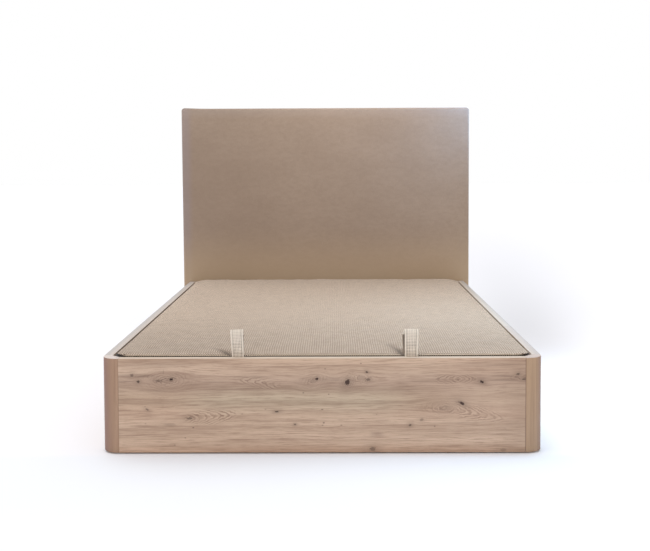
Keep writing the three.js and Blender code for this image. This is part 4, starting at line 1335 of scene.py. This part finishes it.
def make_strap(side, sign):
    node = f"{side}_pull_strap"
    crest_lean, rear_slip, foot_width = STRAP_FORMS[side]
    x = reach(node)[0]
    width = x[1] - x[0]
    line, run = even_steps(strap_line(), 2.2 * MM)
    columns = 14
    clear_selection()
    bpy.ops.mesh.primitive_grid_add(x_subdivisions=columns, y_subdivisions=len(line) - 1, size=1)
    piece = named(bpy.context.object, f"{side}_webbing_strap")
    places = points_of(piece)
    row = np.rint((places[:, 1] + 0.5) * (len(line) - 1)).astype(int)
    share = places[:, 0] + 0.5
    height = line[row, 1]
    lift = np.clip((height - board_z[1] - 8 * MM) / (70 * MM), 0, 1)
    spread = foot_width + 0.06 * lift
    slip = np.where(run[row] < 0.5 * run[-1], rear_slip, 0.0)
    slip = slip * np.clip((height - board_z[1]) / (12 * MM), 0, 1)
    slip = slip * np.clip((board_z[1] + 84 * MM - height) / (16 * MM), 0, 1)
    lean = crest_lean * lift + slip
    bow = lift * (1 - (2 * share - 1) ** 2) * 1.2 * MM
    stood = np.column_stack([
        middle(x) + (share - 0.5) * width * spread + lean,
        line[row, 0] - bow,
        height - lift * 1.5 * MM * (share - 0.5) * sign,
    ])
    move_points(piece, stood)
    corners = np.empty(len(piece.data.loops), dtype=np.int32)
    piece.data.loops.foreach_get("vertex_index", corners)
    along_strap = np.column_stack([share[corners] * width, run[row[corners]]])
    piece.data.uv_layers.active.data.foreach_set("uv", along_strap.reshape(-1))
    apply_modifier(piece, "SOLIDIFY", thickness=1.2 * MM, offset=0.0)
    apply_modifier(piece, "SUBSURF", levels=1, render_levels=1)
    recalculate(piece)
    smooth(piece, 60)
    # The rear leg's faces that look into the loop get the painted shade finish.
    face_finishes(piece, lambda centre, normal: int(normal.y < -0.3 and centre.y > lid_y[0] - 1.7 * MM
                                                    and board_z[1] < centre.z < board_z[1] + 68 * MM))
    paint(piece, FINISH["webbing"], FINISH["webbing_painted_shade"])
    return place(piece, "lid", "webbing", node)


for side, sign in SIDES:
    make_strap(side, sign)


# Finishes of the CAD pieces that keep their shape

KEPT = {
    "pine_x": ["front_ledge", "rear_ledge", "floor_support_1", "floor_support_2", *both("{}_rest_block"),
               "headboard_bottom_rail", "headboard_top_rail"],
    "pine_y": both("{}_ledge"),
    "pine_z": both("headboard_{}_stile") + both("headboard_{}_upright"),
    "floor_board": ["floor_board_1", "floor_board_2", "floor_board_3"],
    "lid_board": ["lid_board"],
    "back_board": ["headboard_front_board"],
    "back_cloth": ["headboard_back_cloth"],
    "nylon": both("{}_front_glide") + both("{}_rear_glide"),
    "zinc": [*both("{}_front_bracket"), *both("{}_rear_bracket"), *both("{}_pivot_pin"),
             *both("{}_strap_clamp"), *both("headboard_{}_bolt")],
    "black_steel": both("{}_hinge_plate") + both("{}_hinge_arm"),
}
for finish, names in KEPT.items():
    for name in names:
        for part in nodes[name].material_slots:
            part.material = FINISH[finish]


# Steel frame of the lid

TUBES = ("lid_left_tube", "lid_right_tube", "lid_front_tube", "lid_rear_tube", "lid_cross_tube_1",
         "lid_cross_tube_2")


def make_tubes():
    for node in TUBES:
        piece = block(node.replace("tube", "steel_tube"), *reach(node))
        longest = max(range(3), key=lambda axis: piece.dimensions[axis])
        round_edges(piece, lambda a, b: abs(a[longest] - b[longest]) > 0.1, 2.5 * MM, 3)
        smooth(piece)
        paint(piece, FINISH["black_steel"])
        place(piece, "lid", "black_steel", node)


def make_tube_caps():
    """Plastic plugs that close the open ends of the front tube."""
    (left, right), y, z = reach("lid_front_tube")
    caps = []
    for end, out in ((left, -1), (right, 1)):
        flange = block("flange", sorted((end, end + out * 1.2 * MM)), y, z)
        soften(flange, 0.5 * MM, 2)
        caps.append(flange)
    piece = joined("front_tube_end_caps", caps)
    paint(piece, FINISH["cap"])
    place(piece, "lid", "nylon")


def make_welds():
    """Rippled beads where the cross tubes and the rear tube meet the side tubes."""
    length, radius, ripples = 27 * MM, 1.7 * MM, 14
    steps = [(radius * (1 if k % 2 else 0.72), length * (k / ripples - 0.5)) for k in range(ripples + 1)]
    model = turned("bead", steps, sides=8)
    bottom = reach("lid_left_tube")[2][0]
    places = []
    outer_side = reach("lid_rear_tube")[1][1]
    for node in ("lid_rear_tube", "lid_cross_tube_1", "lid_cross_tube_2"):
        x, y, z = reach(node)
        for end in x:
            places.append(stand_on((end, middle(y), bottom + 0.6 * MM), (0, 1, 0)))
            places += [stand_on((end, side_y, middle(z)), (0, 0, 1)) for side_y in y if side_y < outer_side]
    piece = copies("lid_weld_beads", model, places)
    bpy.data.objects.remove(model, do_unlink=True)
    smooth(piece, 60)
    paint(piece, FINISH["black_steel"])
    place(piece, "lid", "black_steel")


make_tubes()
make_tube_caps()
make_welds()


# Gas springs

# Distances from the middle of the bed to the springs' parts
SPRING_PLANE = 656.5 * MM
PIN_START = 649.3 * MM
PIN_END = 667.6 * MM
RIVET_START = 650.5 * MM
CLIP_START = 650.3 * MM

# Places of the eyes of a closed spring, in Y and Z
LOWER_EYE = (705 * MM, 114 * MM)
UPPER_EYE = (425 * MM, 244 * MM)


def make_gas_spring(side, sign):
    """Painted cylinder and chromed rod, each with an eye on its stud."""
    lower = Vector((sign * SPRING_PLANE, *LOWER_EYE))
    upper = Vector((sign * SPRING_PLANE, *UPPER_EYE))
    along = (upper - lower).normalized()
    closed = (upper - lower).length / MM
    tube = turned("tube", in_mm((8.4, 14), (10, 15.8), (10, 219), (9.4, 220), (9.4, 221.4), (10, 222.4),
                                (10, 226.2), (9, 228), (4.5, 228), (4.5, 100)), lower, along, 32)
    neck = turned("neck", in_mm((5, 7), (5, 9.5), (6.6, 9.5), (6.6, 14.2)), lower, along, 6)
    cylinder = joined(f"{side}_gas_cylinder", [tube, neck, eyelet(lower, True)])
    smooth(cylinder)
    paint(cylinder, FINISH["spring"])
    place(cylinder, f"{side}_cylinder", "spring_body", f"{side}_spring_cylinder")

    bar = turned("bar", in_mm((3.4, 113), (4, 113.8), (4, closed - 17), (6.6, closed - 17),
                              (6.6, closed - 12), (5, closed - 12), (5, closed - 7)), lower, along, 24)
    pin_length = (PIN_END - PIN_START) / MM
    pin = turned("pin", in_mm((5, 0), (5, pin_length), (4.6, pin_length + 0.1)),
                 (sign * PIN_START, *UPPER_EYE), (sign, 0, 0), 24)
    rivet = turned("rivet", in_mm((7, 0), (6.6, 0.8), (5, 1.1)),
                   (sign * RIVET_START, *UPPER_EYE), (-sign, 0, 0), 24)
    piston = joined(f"{side}_gas_rod", [bar, eyelet(upper, False), pin, rivet])
    smooth(piston)
    for face in piston.data.polygons:
        off_axis = ((face.center - lower).cross(along)).length
        face.material_index = 0 if off_axis < 4.3 * MM else 1
    paint(piston, FINISH["chrome"], FINISH["zinc"])
    place(piston, f"{side}_rod", "chrome_rod", f"{side}_spring_rod")

    clip = turned(f"{side}_stud_clip", in_mm((7, 0), (7, 0.9)),
                  (sign * CLIP_START, *LOWER_EYE), (-sign, 0, 0), 16)
    soften(clip, 0.2 * MM, 1)
    paint(clip, FINISH["zinc"])
    place(clip, "frame", "zinc_steel")


def eyelet(centre, with_bore):
    def across(name, half_width, radius, sides):
        half = Vector((half_width, 0, 0))
        return rod(name, centre - half, centre + half, radius, sides)

    eye = across("eye", 6 * MM, 9 * MM, 32)
    soften(eye, 1 * MM, 2)
    if with_bore:
        cut_away(eye, across("bore", 10 * MM, 5.3 * MM, 24))
    return eye


for side, sign in SIDES:
    make_gas_spring(side, sign)


# Screws, bolts and staples

def spread(low, high, count):
    return [low + (high - low) * k / (count - 1) for k in range(count)]


def on_both_sides(places):
    """The places on the right side, and the same on the left."""
    places = list(places)
    return [((sign * x, y, z), (sign * out_x, out_y, out_z)) for _, sign in SIDES
            for (x, y, z), (out_x, out_y, out_z) in places]


def bracket_screws(corner_y, inward, leg):
    """Three screws in each leg of the brackets at one end of the box."""
    plate = 2 * MM
    places = []
    for z in (80 * MM, 140 * MM, 200 * MM):
        places.append(((inner_x - plate, corner_y + inward * leg, z), (-1, 0, 0)))
        places.append(((inner_x - leg, corner_y + inward * plate, z), (0, inward, 0)))
    return on_both_sides(places)


def end_ledge_screws():
    ledges = (("front_ledge", 1), ("rear_ledge", -1))
    return [((x, reach(node)[1][1 if out > 0 else 0], middle(reach(node)[2])), (0, out, 0))
            for node, out in ledges for x in spread(-0.52, 0.52, 5)]


def tube_screws():
    cross = [((x, middle(reach(node)[1]), tube_bottom), (0, 0, -1))
             for node in TUBES[2:] for x in (-0.46, 0.0, 0.46)]
    tube_x = middle(reach("lid_right_tube")[0])
    return cross + on_both_sides([((tube_x, y, tube_bottom), (0, 0, -1)) for y in (-0.78, -0.2, 0.2)])


def make_fasteners():
    """Screws and bolts by what they hold. A place is a point and the way the head faces."""
    screw = head_with_recess("screw", 4.2 * MM, 2.3 * MM, 2.2 * MM, 16, cross_outline)
    small_screw = head_with_recess("small_screw", 3 * MM, 1.8 * MM, 1.6 * MM, 16, cross_outline)
    bolt = head_with_recess("bolt", 5.4 * MM, 2.7 * MM, 2.6 * MM, 24, hexagon_outline)
    plate_x = inner_x - 3 * MM
    plate_y = reach("right_hinge_plate")[1]
    block_x, block_y, block_z = reach("right_rest_block")
    ledge_x, _, ledge_z = reach("right_ledge")
    clamp_y, clamp_z = reach("right_strap_clamp")[1:]
    arm_x = reach("right_hinge_arm")[0][1]
    groups = {
        "front_bracket_screws": (screw, "frame", bracket_screws(front_y[1], 1, 56 * MM)),
        "rear_bracket_screws": (screw, "frame", bracket_screws(rear_y[0], -1, 24 * MM)),
        "hinge_plate_screws": (screw, "frame", on_both_sides(
            ((plate_x, y, z), (-1, 0, 0)) for y in (plate_y[0] + 12 * MM, plate_y[1] - 12 * MM)
            for z in (0.1, 0.15, 0.2))),
        "rest_block_screws": (screw, "frame", on_both_sides(
            ((x, block_y[1], middle(block_z)), (0, 1, 0))
            for x in (block_x[0] + 14 * MM, block_x[1] - 14 * MM))),
        "side_ledge_screws": (screw, "frame", on_both_sides(
            ((ledge_x[0], y, middle(ledge_z)), (-1, 0, 0)) for y in spread(-0.86, 0.84, 8))),
        "end_ledge_screws": (screw, "frame", end_ledge_screws()),
        "strap_clamp_screws": (small_screw, "lid", [
            ((centre + x, middle(clamp_y), clamp_z[0]), (0, 0, -1))
            for centre in STRAP_CENTRES.values() for x in (-24.5 * MM, 24.5 * MM)]),
        "hinge_arm_bolts": (bolt, "lid", on_both_sides(
            ((arm_x, y, 0.277), (1, 0, 0)) for y in (0.46, 0.55, 0.64))),
        "lid_tube_screws": (screw, "lid", tube_screws()),
    }
    for name, (model, body, places) in groups.items():
        finish = "black_steel" if model == bolt else "zinc"
        piece = copies(name, model, [stand_on(*spot) for spot in places])
        smooth(piece, 40)
        paint(piece, FINISH[finish])
        place(piece, body, "black_steel" if model == bolt else "zinc_steel")
    for model in (screw, small_screw, bolt):
        bpy.data.objects.remove(model, do_unlink=True)


def make_staples(name, body, facing, places):
    """Wire staples, each a little askew. A place is a point and how far its wire is turned there."""
    wire = block("wire", (-5.5 * MM, 5.5 * MM), (-0.35 * MM, 0.35 * MM), (0, 0.6 * MM))
    soften(wire, 0.2 * MM, 1)
    moves = []
    for k, (point, turn) in enumerate(places):
        askew = Matrix.Rotation(math.radians(turn + 7 * math.sin(k * 2.4)), 4, "Z")
        moves.append(Matrix.Translation(Vector(point)) @ facing @ askew)
    piece = copies(name, wire, moves)
    bpy.data.objects.remove(wire, do_unlink=True)
    paint(piece, FINISH["zinc"])
    place(piece, body, "zinc_steel")


def staple_back_cloth():
    x, y, z = reach("headboard_back_cloth")
    inset = 9 * MM
    across = [((px, y[1], pz), 0) for pz in (z[0] + inset, z[1] - inset)
              for px in spread(x[0] + 0.03, x[1] - 0.03, 25)]
    upright = [((px, y[1], pz), 90) for px in (x[0] + inset, x[1] - inset)
               for pz in spread(z[0] + 0.05, z[1] - 0.05, 20)]
    backward = Matrix.Rotation(math.radians(-90), 4, "X")
    make_staples("back_cloth_staples", "frame", backward, across + upright)


def staple_lid_cover():
    """The staples that hold the lid's cover where it is turned in below the board."""
    x, y, z = reach("lid_board")
    inset = 44 * MM
    tubes = [reach(node)[1] for node in ("lid_cross_tube_1", "lid_cross_tube_2")]
    clear_of_tubes = [py for py in spread(y[0] + 0.08, y[1] - 0.08, 25)
                      if all(py < tube[0] - 10 * MM or py > tube[1] + 10 * MM for tube in tubes)]
    across = [((px, py, z[0]), 0) for py in (y[0] + inset, y[1] - inset)
              for px in spread(x[0] + 0.08, x[1] - 0.08, 18)]
    along = [((px, py, z[0]), 90) for px in (x[0] + inset, x[1] - inset) for py in clear_of_tubes]
    downward = Matrix.Rotation(math.pi, 4, "X")
    make_staples("lid_cover_staples", "lid", downward, across + along)


make_fasteners()
staple_back_cloth()
staple_lid_cover()


# Floor, light and camera

def make_stage():
    clear_selection()
    bpy.ops.mesh.primitive_plane_add(size=60, location=(0, 0, -0.5 * MM))
    floor = named(bpy.context.object, "studio_floor")
    settle(floor)
    material = bpy.data.materials.new("studio_floor_white")
    material.use_nodes = True
    graph = Graph(material.node_tree)
    shader = material.node_tree.nodes["Principled BSDF"]
    _, x, y, _ = graph.object_place()
    # Painted soft shadow on the floor to the right of and behind the bed.
    off = (x - 0.95 + y * -0.12) / (0.155 + y * 0.1)
    fall = graph.math("EXPONENT", off * off * -1.0 + y * -0.22 + 0.24)
    painted_floor_shadow = fall * graph.fade(y, 0.2, 1.1) * 0.21
    # Painted light: the floor beside the front half of the box's right side is whiter.
    beside = graph.fade(x, 0.7, 0.8) * graph.fade(y, -0.2, -0.6)
    # Painted shade: the floor in front of the bed is a little darker and cooler.
    before = graph.fade(y, -1.0, -1.06) * graph.fade(y, -1.9, -1.4)
    tone = graph.mix(beside, (0.93, 0.945, 1.0, 1), (0.98, 0.985, 1.0, 1))
    tone = graph.mix(before, tone, (0.895, 0.93, 0.995, 1))
    graph.feed(shader.inputs["Base Color"], graph.mix(painted_floor_shadow, tone, (0, 0, 0, 1)))
    shader.inputs["Roughness"].default_value = 0.9
    shader.inputs["Specular IOR Level"].default_value = 0.0
    glow = graph.made("Emission", {"Color": (1, 1, 1, 1), "Strength": 1.0})
    surface = Value(graph, shader.outputs[0])
    blend = graph.made("MixShader", {0: graph.seen() * FLOOR_GLOW, 1: surface, 2: glow})
    graph.feed(material.node_tree.nodes["Material Output"].inputs[0], blend)
    floor.data.materials.append(material)


FLOOR_GLOW = 0.02
AMBIENT = 1.0
AMBIENT_TINT = (1.0, 0.985, 0.975)


def make_world():
    world = bpy.data.worlds.new("studio")
    bpy.context.scene.world = world
    world.use_nodes = True
    graph = Graph(world.node_tree)
    backdrop = world.node_tree.nodes["Background"]
    way_x, way_y, _ = graph.parts(graph.made("TexCoord", {}, "Generated"))
    level = 1.0 + way_y * -0.12 + way_x * -0.12 + way_x * way_x * -0.4
    dome = graph.mix(1.0, [AMBIENT * share for share in AMBIENT_TINT] + [1.0],
                     graph.join(level, level, level), "MULTIPLY")
    graph.feed(backdrop.inputs["Color"], graph.mix(graph.seen(), dome, (1, 1, 1, 1)))
    backdrop.inputs["Strength"].default_value = 1.0


def lamp(name, kind, power, colour):
    light = bpy.data.lights.new(name, kind)
    light.energy = power
    light.color = colour
    made = bpy.data.objects.new(name, light)
    bpy.context.collection.objects.link(made)
    return made


def softbox(name, at, target, size, power, colour=(1, 1, 1), cone=180):
    made = lamp(name, "AREA", power, colour)
    made.data.shape = "RECTANGLE"
    made.data.size, made.data.size_y = size
    made.data.spread = math.radians(cone)
    made.visible_camera = False
    made.location = at
    made.rotation_euler = (Vector(target) - Vector(at)).to_track_quat("-Z", "Y").to_euler()


def far_light(name, come_from, strength, spread, colour=(1, 1, 1)):
    """A wide light so far off that the whole floor gets the same."""
    made = lamp(name, "SUN", strength, colour)
    made.data.angle = math.radians(spread)
    made.rotation_euler = Vector(come_from).to_track_quat("Z", "Y").to_euler()


make_stage()
make_world()
far_light("studio_top", (-0.38, 0.3, 0.85), 0.8, 60, (1.0, 0.985, 0.97))
softbox("lid_light", (1.0, -0.4, 4.5), (0.84, -0.42, 0.32), (1.0, 1.0), 3.3, (0.5, 0.76, 1.0), 30)
softbox("head_light", (0.25, 0.55, 1.55), (0.25, 1.0, 1.25), (1.2, 0.12), 2.1, (1.0, 0.98, 0.95))
softbox("corner_light", (1.15, 0.6, 1.4), (0.74, 0.95, 1.18), (0.15, 0.15), 1.0, (0.2, 0.5, 1.0), 70)


CAMERA_PLACE = (0.0425, -4.116, 0.9465)
CAMERA_TURNS = (0.547, 2.822, -0.256)
CAMERA_LENS = 54.415
CAMERA_SHIFT = -0.1068


def make_camera():
    """Stands before the foot of the bed, a little right of the middle, and looks slightly down.
    Its turns are degrees to the left, down and sideways."""
    yaw, pitch, roll = (math.radians(angle) for angle in CAMERA_TURNS)
    forward = Vector((-math.sin(yaw) * math.cos(pitch), math.cos(yaw) * math.cos(pitch), -math.sin(pitch)))
    level = Vector((math.cos(yaw), math.sin(yaw), 0))
    up = level.cross(forward)
    right = level * math.cos(roll) + up * math.sin(roll)
    up = up * math.cos(roll) - level * math.sin(roll)
    camera = bpy.data.objects.new("camera", bpy.data.cameras.new("camera"))
    bpy.context.collection.objects.link(camera)
    camera.data.sensor_width = 36
    camera.data.sensor_fit = "HORIZONTAL"
    camera.data.lens = CAMERA_LENS
    camera.data.shift_y = CAMERA_SHIFT
    turn = Matrix((right, up, -forward)).transposed().to_4x4()
    camera.matrix_world = Matrix.Translation(CAMERA_PLACE) @ turn
    bpy.context.scene.camera = camera


make_camera()
bpy.context.scene.view_settings.view_transform = "Standard"
